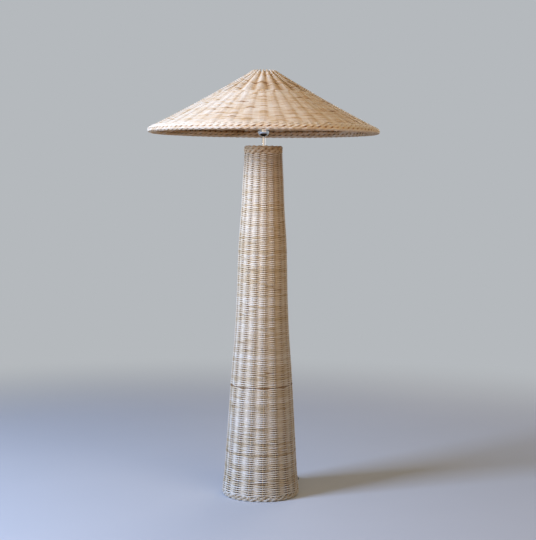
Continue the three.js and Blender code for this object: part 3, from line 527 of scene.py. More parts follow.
# Column: weave
# One weaver of rattan core after another, spliced end to end, goes up the seventeen stakes in a
# single spiral, in front of one stake and behind the next. The count is odd, so each row passes
# on the other side of every stake than the row below it.
row_pitch = 0.00375
row_wander = 0.0012
row_jitter = 0.00012
weaver_tall = 0.0044
weaver_at_stake = 0.0041
steps_per_gap = 6
weaver_sides = 8
weaver_stiffness = 0.95
flat_share = 0.8


def over_and_under(wave, stiffness):
    """Share of the way out from the middle of the wall: the arcsine of a cosine, a zigzag whose
    corners at the stakes are rounded the more, the lower the stiffness."""
    return np.arcsin(stiffness * np.cos(wave)) / math.asin(stiffness)


def flat_between(wave, radius, gaps):
    """How far a straight span between two stakes runs inside the circle through them: nothing at
    the stakes, and the arc's full rise halfway."""
    share = 2 * np.abs(wave / np.pi - np.round(wave / np.pi))
    return radius * (1 - math.cos(math.pi / gaps)) * (1 - (1 - share) ** 2)


def spliced_tones(length, seed, shortest, longest):
    """Tone along a run of canes spliced end to end: each cane has its own, and it drifts along
    the cane, up or down anew at each knot."""
    palest, contrast, drifting, knot_spacing = 0.16, 0.34, 0.08, 0.12
    draw = np.random.default_rng(seed)
    ends = np.cumsum(draw.uniform(shortest, longest, int(length[-1] / shortest) + 2))
    own = palest + contrast * draw.beta(2.0, 3.0, len(ends) + 1)
    knots = np.arange(0, length[-1] + 1, knot_spacing)
    drift = np.interp(length, knots, draw.normal(0, drifting, len(knots)))
    return own[np.searchsorted(ends, length)] + drift


def run_length(path):
    """Length along a path up to each of its points."""
    return np.cumsum(np.linalg.norm(np.diff(path, axis=0, prepend=path[:1]), axis=-1))


def stained_spans(wave, seed, share):
    """One for every step on the few spans between stakes that water stained, nought elsewhere."""
    span = np.floor((wave - wave.min()) / np.pi).astype(int)
    return (np.random.default_rng(seed).random(span.max() + 1) < share)[span]


# Peeled core for the column: cream, with little contrast from row to row, and cooler towards
# the foot with painted light thrown back from the floor
column_core = rattan("peeled_rattan_core", "#ebdcc4", "#d3b88e", "#86613a", roughness=0.55,
                     fibres_round=9.0, painted_bounce=1.0)

turns = math.floor((weave_top - weave_bottom - weaver_tall) / row_pitch)
steps_per_turn = stake_count * steps_per_gap
turn = np.arange(turns * steps_per_turn + 1) / steps_per_turn
height = weave_bottom + weaver_tall / 2 + row_pitch * turn
azimuth = 2 * np.pi * turn
wave = stake_count / 2 * (azimuth - stake_azimuth(height))
middle = column_middle(height)
radius = middle + over_stake * over_and_under(wave, weaver_stiffness)
radius = radius - flat_share * flat_between(wave, middle, stake_count)
# The rows wander up and down in slow waves, but lie level against the borders
settle = np.sin(np.pi * (height - weave_bottom) / (weave_top - weave_bottom))
uneven = row_wander * np.sin(azimuth + 9 * height) * np.sin(21 * height + 2)
height = height + settle * uneven
row_noise = np.random.default_rng(5).normal(0, row_jitter, turns + 2)
height = height + np.interp(turn, np.arange(turns + 2), row_noise)
weave_path = around_axis(radius, azimuth, height)
weave_tone = spliced_tones(run_length(weave_path), seed=21, shortest=0.9, longest=2.4)
weave_tone = weave_tone + 0.3 * stained_spans(wave, seed=8, share=0.05)
# Stretches that were woven with browner cane, round the front: height and tone
dark_rows = {1.020: 0.55, 0.907: 0.62, 0.858: 0.55, 0.384: 0.92, 0.189: 0.66,
             0.154: 0.74, 0.150: 0.55, 0.1005: 0.68, 0.068: 0.64}
dark_from, dark_to = 0.42, 1.05
for dark_height, darkness in dark_rows.items():
    row = round((dark_height - weave_bottom) / row_pitch)
    weave_tone[(turn > row + dark_from) & (turn < row + dark_to)] = darkness
# Painted shade darkens a weaver's inner side and its dips behind the stakes, most at the foot
inner_shade_strength, behind_shade_strength, dip_shade_strength, foot_dip_shade_strength = 0.35, 0.20, 0.25, 0.4
foot_shade_height = 0.6
painted_inner_shade = inner_shade_strength * ((1 - np.cos(once_round(weaver_sides))) / 2) ** 2
behind = np.clip(-np.cos(wave), 0, 1)
foot_share = np.clip(1 - height / foot_shade_height, 0, 1)
weave_tone = weave_tone + behind_shade_strength * behind
weave_tone = weave_tone + (dip_shade_strength + foot_dip_shade_strength * foot_share) * behind**8
weave_tone = weave_tone[:, None] + painted_inner_shade
round_stake = np.cos(wave) ** 4
weave_tall = weaver_tall + (weaver_at_stake - weaver_tall) * round_stake
weave_rings = carried_oval(weave_path[None], around_axis(1.0, azimuth, 0.0)[None], weave_tall,
                           weaver_deep, weaver_sides)
weave_parts = ("lower", "middle", "upper")
for index, part in enumerate(weave_parts):
    first = index * turns // len(weave_parts) * steps_per_turn
    last = (index + 1) * turns // len(weave_parts) * steps_per_turn + 1
    skinned(f"column_weave_{part}", weave_rings[:, first:last], "stand", "column_cane",
            column_core, ["column_weave"], tone=weave_tone[None, first:last],
            strip=steps_per_turn)


# Column: borders
# At the foot and the top the stakes, doubled with extra canes, are bent over and laced round the
# edge: each goes over its neighbours and dives under the next ones, row after row.
def laced_border(outline, count, rows, lean, start, bulge, tall, deep, canes, steps):
    """Strands that follow a section's outline, radius and height, round an edge: as many strand
    spacings round for each row as they lean, and in and out by the cosine of the way through the
    row, so that they dive under their neighbours between the rows, where they linger. Each strand
    is a few canes pressed together side by side."""
    linger, pressed, sides = 0.45, 0.97, 7
    line = smooth_route(outline, 12)
    reach = run_length(line)
    slope = np.gradient(line, axis=0)
    normal = np.stack([-slope[:, 1], slope[:, 0]], -1)
    normal = normal / np.linalg.norm(normal, axis=1, keepdims=True)
    if ((line - line.mean(0)) * normal).sum() < 0:
        normal = -normal
    way = np.linspace(0, rows, steps)
    at = (way - linger * np.sin(2 * np.pi * way) / (2 * np.pi)) / rows * reach[-1]
    out_r, out_z = (np.interp(at, reach, normal[:, axis]) for axis in (0, 1))
    off = -bulge * np.cos(2 * np.pi * way)
    radius = np.interp(at, reach, line[:, 0]) + off * out_r
    height = np.interp(at, reach, line[:, 1]) + off * out_z
    spacing = 2 * np.pi / count
    turned = start + spacing * (np.arange(count)[:, None] + lean * way)
    path = around_axis(radius, turned, height)
    outward, across = section_axes(path, around_axis(out_r, turned, out_z), closed=False)
    shifts = (np.arange(canes) - (canes - 1) / 2) * tall * pressed
    path = np.concatenate([path + shift * across for shift in shifts])
    outward = np.concatenate([outward] * canes)
    return carried_oval(path, outward, tall, deep, sides)


def border_tones(rings, canes, rows, seed, low, high, hollow_shade):
    """One tone for each cane of a border, near its partner's, and darker by the last argument where
    the cane dives: painted shade in the hollows between the strands."""
    draw = np.random.default_rng(seed)
    count = len(rings) // canes
    own = np.tile(draw.uniform(low, high, count), canes) + draw.normal(0, 0.05, len(rings))
    way = np.linspace(0, rows, rings.shape[1])
    return own[:, None] + hollow_shade * np.clip(np.cos(2 * np.pi * way), 0, 1) ** 3


# Core for the top border: browner than the column's, partly its own colour and partly painted
# shade from the lampshade above it
border_core = rattan("browner_shaded_rattan_core", "#efd8b3", "#cba576", "#7c5834", roughness=0.6,
                     fibres_round=9.0)
top_edge = column_top_radius + 0.002
top_outline = [
    (top_edge - 0.0070, 1.2045), (top_edge - 0.0030, 1.2110), (top_edge - 0.0030, 1.2210),
    (top_edge - 0.0040, 1.2275), (top_edge - 0.0070, 1.2300), (top_edge - 0.0092, 1.2260),
    (top_edge - 0.0095, 1.2150),
]
top_rows = 5
top_rings = laced_border(top_outline, stake_count, top_rows, lean=1.5,
                         start=stake_start + stake_twist, bulge=0.0019, tall=0.0033, deep=0.0030,
                         canes=2, steps=101)
top_tone = border_tones(top_rings, 2, top_rows, seed=3, low=0.0, high=0.35, hollow_shade=0.5)
skinned("column_top_lacing", top_rings, "stand", "border_cane", border_core, ["column_top_border"],
        tone=top_tone)
foot_edge = column_foot_radius + 0.0025
foot_outline = [
    (foot_edge - 0.0070, 0.0185), (foot_edge - 0.0030, 0.0120), (foot_edge - 0.0027, 0.0070),
    (foot_edge - 0.0045, 0.0036), (foot_edge - 0.0075, 0.0038), (foot_edge - 0.0085, 0.0080),
    (foot_edge - 0.0085, 0.0120),
]
foot_rows = 4
foot_rings = laced_border(foot_outline, 2 * stake_count, foot_rows, lean=-1.5, start=stake_start,
                          bulge=0.0011, tall=0.0036, deep=0.0030, canes=1, steps=81)
foot_tone = border_tones(foot_rings, 1, foot_rows, seed=4, low=0.0, high=0.5, hollow_shade=0.35)
skinned("column_foot_lacing", foot_rings, "stand", "border_cane", column_core,
        ["column_foot_border"], tone=foot_tone)


# Cord gland
# A black nylon strain relief, pushed through the column's wall at the back: a collar outside and
# one inside, and a ribbed tail that tapers to the cord so that it can't kink.
def softened(outline, cut, steps=3):
    """The outline with each inner corner cut back by a length, at most a third of either side,
    and rounded by a curve of the second degree. Its two ends stay."""
    outline = np.array(outline, float)
    before, after = outline[:-2] - outline[1:-1], outline[2:] - outline[1:-1]
    length = [np.linalg.norm(side, axis=1, keepdims=True) for side in (before, after)]
    start = outline[1:-1] + before * np.minimum(cut / length[0], 1 / 3)
    end = outline[1:-1] + after * np.minimum(cut / length[1], 1 / 3)
    t = np.linspace(0, 1, steps + 1)[None, :, None]
    corner = outline[1:-1, None]
    curve = (1 - t)**2 * start[:, None] + 2 * t * (1 - t) * corner + t**2 * end[:, None]
    return np.vstack([outline[:1], curve.reshape(-1, 2), outline[-1:]])


def lathe(outline, sides, origin=(0.0, 0.0, 0.0), heading=None):
    """Rings of an outline, radius and way, turned round the line from the origin that goes
    upwards or, with a heading, level at that azimuth."""
    if heading is None:
        axes = np.eye(3)
    else:
        cosine, sine = math.cos(heading), math.sin(heading)
        axes = np.array([[-sine, cosine, 0], [0, 0, 1], [cosine, sine, 0]])
    ring = around_axis(outline[:, :1], once_round(sides), outline[:, 1:])
    return (np.array(origin) + ring @ axes)[None]


def boot_ribs(start, end, radius, tip, ribs):
    """Outline of a tapered boot: from a radius to the tip's, with a groove between two ribs."""
    steps_per_rib, depth = 8, 0.0007
    way = np.linspace(start, end, steps_per_rib * ribs + 1)
    taper = np.linspace(radius, tip, len(way))
    groove = depth * np.clip(np.cos(2 * np.pi * ribs * (way - start) / (end - start)), -0.4, 1)
    return np.stack([taper + groove - depth, way], -1)


# A turned outline starts and ends a hair off its axis, so that no face shrinks to nothing
hairline = 0.0001
# Moulded nylon: black, satin, with a fine grain
nylon = moulded_plastic("moulded_nylon", "#161617", "#2c2b2a", roughness=0.45, grain=0.0004)
gland_azimuth = math.radians(50)
gland_face = 0.12815
gland_height = 0.028
gland_start = gland_face * np.array([math.cos(gland_azimuth), math.sin(gland_azimuth), 0])
gland_start[2] = gland_height
gland_body = [(hairline, -0.0104), (0.0082, -0.0104), (0.0082, -0.0069), (0.0056, -0.0069),
              (0.0056, 0.0009), (0.0084, 0.0009), (0.0084, 0.0043), (0.0060, 0.0047)]
gland_tail = boot_ribs(0.0052, 0.0320, 0.0064, 0.0048, 6)
gland_outline = np.vstack([softened(gland_body, 0.0008), gland_tail, [(0.0034, 0.0326)],
                           [(hairline, 0.0326)]])
skinned("ribbed_gland", lathe(gland_outline, 32, gland_start, gland_azimuth), "stand",
        "switch_plastic", nylon, ["cord_gland"], sharp=40)

# Lampholder
# A chromed cup on a zinc-plated nipple and nut hides a black phenolic holder with an outer
# thread, in whose floor sit brass contacts and terminal screws.
for name in ("cup_nipple", "cup_nut"):
    eased_copy(name, "stand", zinc_plate, edge=0.0002)
cup_radius = 0.0205
cup_wall = 0.0010
cup_hole = 0.0050
cup_bead = 0.0006
cup_centre = 1.284875
cup_rim = 1.302
cup_floor = 1.266
bend = np.linspace(-1.17, 0, 20)
cup_outside = np.stack([cup_radius * np.cos(bend), cup_centre + cup_radius * np.sin(bend)], -1)
cup_bore = cup_radius - cup_wall
cup_inside = np.stack([cup_bore * np.cos(bend), cup_centre + cup_bore * np.sin(bend)], -1)[::-1]
cup_outline = np.vstack([
    [(cup_hole, cup_floor)], cup_outside,
    [(cup_radius, cup_rim - 2 * cup_bead), (cup_radius + 0.0004, cup_rim - cup_bead),
     (cup_radius, cup_rim), (cup_bore, cup_rim)],
    cup_inside, [(cup_hole, cup_floor + cup_wall)]])
skinned("chromed_cup", lathe(cup_outline, 64), "stand", "stem_chrome", chrome, ["holder_cup"],
        closed=True, sharp=40)
# Phenolic moulding: black with a dull shine
phenolic = moulded_plastic("phenolic_moulding", "#171615", "#2a2826", roughness=0.3, grain=0.0005)
eased_copy("holder_body", "stand", phenolic, edge=0.0003)
# Brass: yellow, brighter where the file went
brass = mottled("filed_brass", "#c9a552", "#b08a3e", metallic=1.0, roughness=0.28, spots=0.003,
                depth=0.0001)
for name in ("centre_contact", "side_contact", "terminal_screw_1", "terminal_screw_2"):
    eased_copy(name, "stand", brass, edge=0.0001)
inner_path = smooth_route([
    (0.0759, 0.0905, 0.028), (0.0480, 0.0572, 0.028), (0.0172, 0.0205, 0.0285),
    (0.0075, 0.0089, 0.034), (0.0015, 0.0018, 0.046), (0, 0, 0.060), (0, 0, 0.45), (0, 0, 0.85),
    (0, 0, 1.20), (0, 0, 1.2776)], 8)
beside_gland = np.array([-0.766, 0.643, 0.0])
inner_run = carried_oval(inner_path[None], beside_gland, cord_size, cord_size, cord_sides)
skinned("cord_in_the_stem", inner_run, "stand", "cord_sheath", cord_sheath, ["inner_cord"])

# Fitter and shade ring
# A pressed ring sits on the holder's flange, and three arms of 4 mm wire rise from it to the
# shade's top wire. A fluted phenolic ring screws down on it and holds the shade.
cone_inner = 0.0463
cone_outer = 0.3937
cone_top = 1.494
cone_fall = 0.194
cone_sag = 0.004
shade_wall = 0.008
shade_wire = 0.005
shade_rod = 0.004
shade_gap = 0.0003
top_wire_radius = 0.0503
rim_wire_radius = 0.3857
cone_slant = math.hypot(1, (cone_fall + 4 * cone_sag) / (cone_outer - cone_inner))


def cone_height(radius):
    """Height of the cone's outside: a straight fall with a parabola of sag taken off."""
    share = (radius - cone_inner) / (cone_outer - cone_inner)
    return cone_top - cone_fall * share - 4 * cone_sag * share * (1 - share)


def under_cone(radius, size):
    """Height of the middle of a wire that lies under the woven wall."""
    return cone_height(radius) - (shade_wall + shade_gap + size / 2) * cone_slant


ring_outline = softened([(0.0193, 1.3068), (0.0193, 1.3053), (0.0270, 1.3053), (0.0270, 1.3083),
                         (0.0193, 1.3083), (0.0193, 1.3070)], 0.0006)
skinned("pressed_fitter_ring", lathe(ring_outline, 48), "shade", "frame_steel", lacquered_steel,
        ["fitter_ring"], closed=True, sharp=40)
arm_start, arm_level = 0.0273, 1.3068
arm_foot, arm_straight_from = 0.004, 0.03
arm_end = under_cone(top_wire_radius, shade_wire) - shade_wire / 2 - shade_gap
arm_bend = (top_wire_radius - arm_start) / 2
corner = np.linspace(0, np.pi / 2, 9)
arm_r = np.concatenate([[arm_start, arm_start + arm_foot],
                        top_wire_radius - arm_bend + arm_bend * np.sin(corner),
                        np.full(4, top_wire_radius)])
arm_z = np.concatenate([[arm_level, arm_level], arm_level + arm_bend * (1 - np.cos(corner)),
                        np.linspace(arm_level + arm_straight_from, arm_end, 4)])
arm_turns = np.radians([[90], [210], [330]])
arm_paths = around_axis(arm_r, arm_turns, arm_z)
arm_side = np.stack([-np.sin(arm_turns), np.cos(arm_turns), 0 * arm_turns], -1)
arm_rings = carried_oval(arm_paths, arm_side, shade_rod, shade_rod, 16)
skinned("fitter_arms", arm_rings, "shade", "frame_steel", lacquered_steel,
        [f"fitter_arm_{number}" for number in range(1, 4)], sharp=60)
eased_copy("shade_ring", "shade_ring", phenolic, edge=0.0002, sharp=20)

# Shade frame
# A ring of 5 mm steel wire inside the rim, a small one under the top, and four 4 mm ribs welded
# between them, all dipped in the same dark lacquer as the column's frame.
circle = once_round(144)
rib_end_gap = 0.0048
rib_steps = 40
for name, wire_radius, node in (("rim_wire", rim_wire_radius, "shade_rim_wire"),
                                ("top_wire", top_wire_radius, "shade_top_wire")):
    wire_path = around_axis(wire_radius, circle, under_cone(wire_radius, shade_wire))
    wire_rings = carried_oval(wire_path[None], upwards, shade_wire, shade_wire, 12, closed=True)
    skinned(name, wire_rings, "shade", "frame_steel", lacquered_steel, [node], closed=True)
rib_radii = np.linspace(top_wire_radius + rib_end_gap, rim_wire_radius - rib_end_gap, rib_steps)
rib_turns = np.radians([[45], [135], [225], [315]])
rib_paths = around_axis(rib_radii, rib_turns, under_cone(rib_radii, shade_rod))
rib_rings = carried_oval(rib_paths, upwards, shade_rod, shade_rod, 12)
skinned("shade_ribs", rib_rings, "shade", "frame_steel", lacquered_steel,
        [f"shade_rib_{number}" for number in range(1, 5)], sharp=60)

# Shade: stakes
# Forty-two thin stakes run down the cone, in pairs near the top and spread singly further out.
# At the top each pair is bent over the top wire and tucked back inside.
pair_count = 21
shade_stake_size = 0.0028
pair_start = math.radians(-4.1 - 90)
pairs_until = 0.165
singles_from = 0.190
cone_overrun = 0.004

# The cone's middle surface as a table: radius, height, direction out and way down
cone_radii = np.linspace(cone_inner - cone_overrun, cone_outer + cone_overrun, 600)
cone_heights = cone_height(cone_radii)
cone_slope = np.gradient(cone_heights, cone_radii)
cone_out_z = 1 / np.hypot(1, cone_slope)
cone_out_r = -cone_slope * cone_out_z
cone_radii = cone_radii - cone_out_r * shade_wall / 2
cone_heights = cone_heights - cone_out_z * shade_wall / 2
cone_way = run_length(np.stack([cone_radii, cone_heights], -1))


def on_cone(way, off, azimuth):
    """Points at a way down the cone's middle surface, off it by a distance, at an azimuth, and
    the directions that point out of the cone there."""
    radius, height, out_r, out_z = (np.interp(way, cone_way, values) for values in
                                    (cone_radii, cone_heights, cone_out_r, cone_out_z))
    point = around_axis(radius + off * out_r, azimuth, height + off * out_z)
    return point, around_axis(out_r, azimuth, out_z)


def half_pair(radius):
    """Half the angle between the two stakes of a pair: side by side near the top, and a quarter
    of the pairs' spacing further out."""
    near = shade_stake_size * 0.52 / radius
    share = np.clip((radius - pairs_until) / (singles_from - pairs_until), 0, 1)
    share = share * share * (3 - 2 * share)
    return near + share * (np.pi / pair_count / 2 - near)


fold = smooth_route([
    (0.0342, 1.4840), (0.0346, 1.4900), (0.0366, 1.4948), (0.0398, 1.4968), (0.0430, 1.4949),
    (cone_radii[60], cone_heights[60])], 6)
down_radii = np.linspace(cone_radii[70], cone_radii[-12], 70)
stake_r = np.concatenate([fold[:, 0], down_radii])
stake_z = np.concatenate([fold[:, 1], np.interp(down_radii, cone_radii, cone_heights)])
pair_turns = pair_start + once_round(pair_count)[:, None]
stake_angles = np.concatenate([pair_turns - half_pair(stake_r), pair_turns + half_pair(stake_r)])
stake_paths = around_axis(stake_r, stake_angles, stake_z)
stake_slope = np.gradient(np.stack([stake_r, stake_z], -1), axis=0)
stake_out = around_axis(-stake_slope[:, 1], stake_angles, stake_slope[:, 0])
# Bleached core for the shade: paler and yellower than the column's
shade_core = rattan("bleached_rattan_core", "#f1dfc5", "#dcb98a", "#9c6a38", roughness=0.55,
                    fibres_round=9.0)
shade_stake_rings = carried_oval(stake_paths, stake_out, shade_stake_size, shade_stake_size,
                                 stake_sides)
shade_stake_tone = np.random.default_rng(12).uniform(0.1, 0.6, (2 * pair_count, 1))
skinned("shade_stakes", shade_stake_rings, "shade", "shade_cane", shade_core, ["shade_top_border"],
        tone=shade_stake_tone, strip=120)

# Shade: weave
# Rattan core again, pressed a little flat. Over the pairs one weaver spirals down alone, because
# their number is odd. Over the single stakes, an even number, two weavers chase each other on
# opposite sides.
shade_weaver_tall = 0.0050
shade_weaver_deep = 0.0029
shade_row_pitch = 0.0040
furrow_depth = 0.0024
tuck_depth = 0.0030
tuck_turns = 0.2
cone_row_wander = 0.0005
shade_over = (shade_stake_size + shade_weaver_deep) / 2
single_lift = 0.8
pair_over = shade_over + 0.0002
pair_stiffness = 0.8
pair_flat_share = 0.9
furrow_shade_strength = 0.5


def stake_wave(radius, azimuth):
    """Half turns of a weaver past the single stakes: straight lines between the stakes, which
    stand at half_pair on both sides of each pair's middle."""
    spacing = 2 * np.pi / pair_count
    pair = np.round((azimuth - pair_start) / spacing)
    aside = azimuth - pair_start - pair * spacing
    near = half_pair(radius)
    beyond = (np.abs(aside) - near) / (spacing / 2 - near)
    inside = np.pi / 2 * (1 + aside / near)
    outside = np.pi / 2 * (1 + np.sign(aside) * (1 + beyond))
    return 2 * np.pi * pair + np.where(np.abs(aside) < near, inside, outside)


def cone_weave(name, first_way, first_turn, turns, pitch, steps_per_turn, flip, single, seed):
    """A weaver that spirals down the cone, one pitch a turn, out and in past the stakes: over
    the single ones by the cube of a cosine. Over the pairs it also sinks between two of them by
    the sine's square of its half turns. One that joins in later starts tucked in behind."""
    turn = np.arange(round(turns * steps_per_turn) + 1) / steps_per_turn
    way = first_way + pitch * turn
    azimuth = pair_start + 2 * np.pi * (first_turn + turn)
    radius = np.interp(way, cone_way, cone_radii)
    if single:
        wave = stake_wave(radius, azimuth)
        lift = single_lift * shade_over * flip * np.cos(wave) ** 3
        lift = lift - flat_share * flat_between(wave, radius, 2 * pair_count)
    else:
        wave = pair_count / 2 * (azimuth - pair_start)
        lift = pair_over * flip * over_and_under(wave, pair_stiffness)
        lift = lift - pair_flat_share * flat_between(wave, radius, pair_count)
        lift = lift - furrow_depth * np.sin(wave) ** 2
    lift = lift - tuck_depth * (first_turn > 0) * np.clip(1 - turn / tuck_turns, 0, 1)
    way = way + cone_row_wander * np.sin(azimuth * 0.998 + 30 * way) * np.sin(60 * way)
    path, outward = on_cone(way, lift, azimuth)
    tone = spliced_tones(run_length(path), seed, shortest=0.8, longest=2.2)
    tone = tone + 0.33 * stained_spans(wave, seed + 100, share=0.13)
    # Over the pairs, painted shade darkens the furrows between them
    if not single:
        tone = tone + furrow_shade_strength * np.sin(wave) ** 8
    # The weaver's inner side gets the same painted shade as on the column's weave
    rings = carried_oval(path[None], outward[None], shade_weaver_tall, shade_weaver_deep,
                         weaver_sides)
    skinned(name, rings, "shade", "shade_cane", shade_core, ["shade_weave"],
            tone=(tone[:, None] + painted_inner_shade)[None], strip=steps_per_turn)


# Where the weave starts, where its weavers change, and where it ends
top_way, change_way, end_way = np.interp([cone_inner - 0.0035, 0.172, 0.3905], cone_radii,
                                         cone_way)
upper_turns = round((change_way - top_way) / shade_row_pitch)
change_way = top_way + upper_turns * shade_row_pitch
cone_weave("shade_weave_upper", top_way, 0, upper_turns, shade_row_pitch,
           steps_per_turn=8 * pair_count, flip=1, single=False, seed=31)
# The second of the two lower weavers joins in later, where the gap between the rows has widened
join_turn = 0.3
lower_turns = (end_way - change_way) / (2 * shade_row_pitch)
for index, flip in enumerate((1, -1)):
    joined_way = change_way + index * (2 * join_turn - 1) * shade_row_pitch
    cone_weave(f"shade_weave_lower_{index + 1}", joined_way, index * join_turn,
               lower_turns - index / 2, 2 * shade_row_pitch, steps_per_turn=12 * pair_count,
               flip=flip, single=True, seed=32 + index)

# Shade: rim border
# Five strands for two stakes, each strand a pair of thicker canes, are laced round the rim. On
# the outside they rise to the right like the strands of a rope, and dark hollows stand between
# them in two staggered rows.
rim_outline = [
    (0.3880, 1.2990), (0.3965, 1.2945), (0.4032, 1.2895), (0.4057, 1.2840), (0.4035, 1.2790),
    (0.3970, 1.2768), (0.3885, 1.2792), (0.3810, 1.2840), (0.3788, 1.2900), (0.3800, 1.2950),
]
rim_rows = 6
rim_steps = 49
rim_underside_shade = 0.3
rim_rings = laced_border(rim_outline, 5 * pair_count, rim_rows, lean=-2, start=pair_start,
                         bulge=0.0017, tall=0.0038, deep=0.0030, canes=2, steps=rim_steps)
rim_tone = border_tones(rim_rings, 2, rim_rows, seed=6, low=0.0, high=0.35, hollow_shade=0.75)
# Below and inside, the strands are darker than on the rim's outside: painted shade
rim_underside_share = np.clip(np.linspace(0, rim_rows, rim_steps) - 0.4 * rim_rows, 0, 1)
skinned("shade_rim_lacing", rim_rings, "shade", "shade_cane", shade_core, ["shade_rim_border"],
        tone=rim_tone + rim_underside_shade * rim_underside_share, strip=rim_steps - 1)

# Bulb
# An opal LED bulb with a zinc-plated screw cap and a brass tip stands in the lampholder.
eased_copy("bulb_tip", "bulb", brass, edge=0.0003)
eased_copy("bulb_cap", "bulb", zinc_plate, edge=0.0002)
bulb_radius, bulb_neck, bulb_wall = 0.030, 0.0123, 0.001
bulb_low, bulb_shoulder, bulb_centre = 1.3135, 1.321, 1.3688


def glass_line(inset):
    """The glass from its neck to its crown: straight up, a cubic to the full radius, and a
    quarter circle, all moved in by the inset."""
    t = np.linspace(0, 1, 14)
    flank_r = bulb_neck + (bulb_radius - bulb_neck) * (3 * t**2 - 2 * t**3) - inset
    middle = (bulb_shoulder + bulb_centre) / 2
    flank_z = (1 - t)**3 * bulb_shoulder + 3 * t * (1 - t) * middle + t**3 * bulb_centre
    crown = np.linspace(0, np.pi / 2, 16)[1:]
    crown_r = (bulb_radius - inset) * np.cos(crown) + hairline
    crown_z = bulb_centre + (bulb_radius - inset) * np.sin(crown)
    radius = np.concatenate([[bulb_neck - inset], flank_r, crown_r])
    return np.stack([radius, np.concatenate([[bulb_low], flank_z, crown_z])], -1)


# Opal glass: milk white all through, with a hard gloss and a faint ripple from the blowing
opal, tree, place = new_finish("blown_opal_glass")
ripple = add(tree, "TexNoise", {"Vector": place, "Scale": 90.0, "Detail": 2.0})
milk = add(tree, "Mix", {0: ripple, 6: linear("#f6f4ee"), 7: linear("#efece4")}, data_type="RGBA")
close_finish(tree, ripple, 0.1, 0.0003, {
    "Base Color": milk, "Roughness": 0.1, "IOR": 1.5, "Subsurface Weight": 0.3,
    "Subsurface Radius": (0.01, 0.01, 0.01)})
glass_outline = np.vstack([glass_line(0.0), glass_line(bulb_wall)[::-1]])
skinned("opal_bulb", lathe(glass_outline, 56), "bulb", "bulb_glass", opal, ["bulb_glass"],
        closed=True, sharp=40)

# Foot switch
# Two black ABS shells, closed round the cord with a soft ribbed sleeve at each end, and a round
# push button that a steel spring holds up.
switch_centre = (0.038, 0.255)
switch_half = (0.032, 0.017)
switch_power = 0.36
cord_level = 0.0065
button_hole = 0.0111


def cushion_shape(outline, sides, centre):
    """Rings of a rounded oblong, its half length and half width raised to the switch's power of
    the cosine and sine, that a share turns to a circle. The outline holds the inset, the height,
    that share and the circle's radius."""
    inset, height, share, radius = np.array(outline, float).T[:, :, None]
    angle = once_round(sides)
    across, along = squared_circle(angle, switch_power)
    x = centre[0] + (1 - share) * (switch_half[0] - inset) * across
    y = centre[1] + (1 - share) * (switch_half[1] - inset) * along
    x, y = x + share * radius * np.cos(angle), y + share * radius * np.sin(angle)
    return np.stack([x, y, height + 0 * x], -1)[None]


# ABS: black, with the fine grain of the mould
abs_shell = moulded_plastic("moulded_abs", "#151516", "#2c2b2a", roughness=0.4, grain=0.0004)
base_outline = [(0, 0.0006, 1, hairline), (0.0034, 0.0006, 0, 0), (0.0030, 0, 0, 0),
                (0.0008, 0, 0, 0), (0, 0.0008, 0, 0), (0, 0.0056, 0, 0), (0.0004, 0.0060, 0, 0),
                (0.0024, 0.0060, 0, 0), (0, 0.0060, 1, hairline)]
skinned("switch_sole", cushion_shape(base_outline, 64, switch_centre), "stand", "switch_plastic",
        abs_shell, ["switch_base"], sharp=35)
cover_outline = [(0.0004, 0.0063, 0, 0), (0, 0.0067, 0, 0), (0, 0.0160, 0, 0),
                 (0.0005, 0.0178, 0, 0), (0.0018, 0.0191, 0, 0), (0.0036, 0.0198, 0, 0),
                 (0.0046, 0.0199, 0.3, 0.0150), (0, 0.0200, 1, 0.0138), (0, 0.0195, 1, 0.0132),
                 (0, 0.0195, 1, 0.0124), (0, 0.0200, 1, 0.0118), (0, 0.0198, 1, button_hole),
                 (0, 0.0180, 1, button_hole), (0, 0.0180, 1, 0.0140), (0.0036, 0.0180, 0, 0),
                 (0.0020, 0.0165, 0, 0), (0.0020, 0.0063, 0, 0)]
skinned("switch_shell", cushion_shape(cover_outline, 64, switch_centre), "stand", "switch_plastic",
        abs_shell, ["switch_cover"], closed=True, sharp=35)
sleeve_outline = np.vstack([[(hairline, -0.0030)], boot_ribs(-0.0030, 0.0110, 0.0058, 0.0046, 3),
                            [(0.0034, 0.0114), (hairline, 0.0114)]])
sleeve_rings = np.concatenate([
    lathe(sleeve_outline, 28, (switch_centre[0] + end * switch_half[0], switch_centre[1],
                               cord_level), heading) for end, heading in ((1, 0.0), (-1, math.pi))])
skinned("switch_sleeves", sleeve_rings, "stand", "cord_sheath", cord_sheath, sharp=40)
button_outline = softened([(hairline, 0.0162), (0.0127, 0.0162), (0.0127, 0.0177),
                           (0.0108, 0.0177), (0.0108, 0.0225), (0.0093, 0.0240),
                           (0.0080, 0.0240), (0.0074, 0.0235), (0.0058, 0.0235),
                           (0.0052, 0.0238), (hairline, 0.0238)], 0.0005)
skinned("push_button", lathe(button_outline, 48, (*switch_centre, 0.0)), "switch_button",
        "switch_plastic", abs_shell, ["switch_button"], sharp=40)
spring_radius, spring_wire, spring_turns = 0.005, 0.0008, 4
spring_low, spring_high = 0.0067, 0.0155
spring_turn = 2 * np.pi * np.linspace(0, spring_turns, 24 * spring_turns + 1)
spring_rise = np.linspace(spring_low, spring_high, len(spring_turn))
spring_path = around_axis(spring_radius, spring_turn, spring_rise) + [*switch_centre, 0]
spring_rings = carried_oval(spring_path[None], upwards, spring_wire, spring_wire, 10)
spring = skinned("coiled_spring", spring_rings, "stand", "zinc_steel", zinc_plate,
                 ["switch_spring"])
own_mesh(spring)

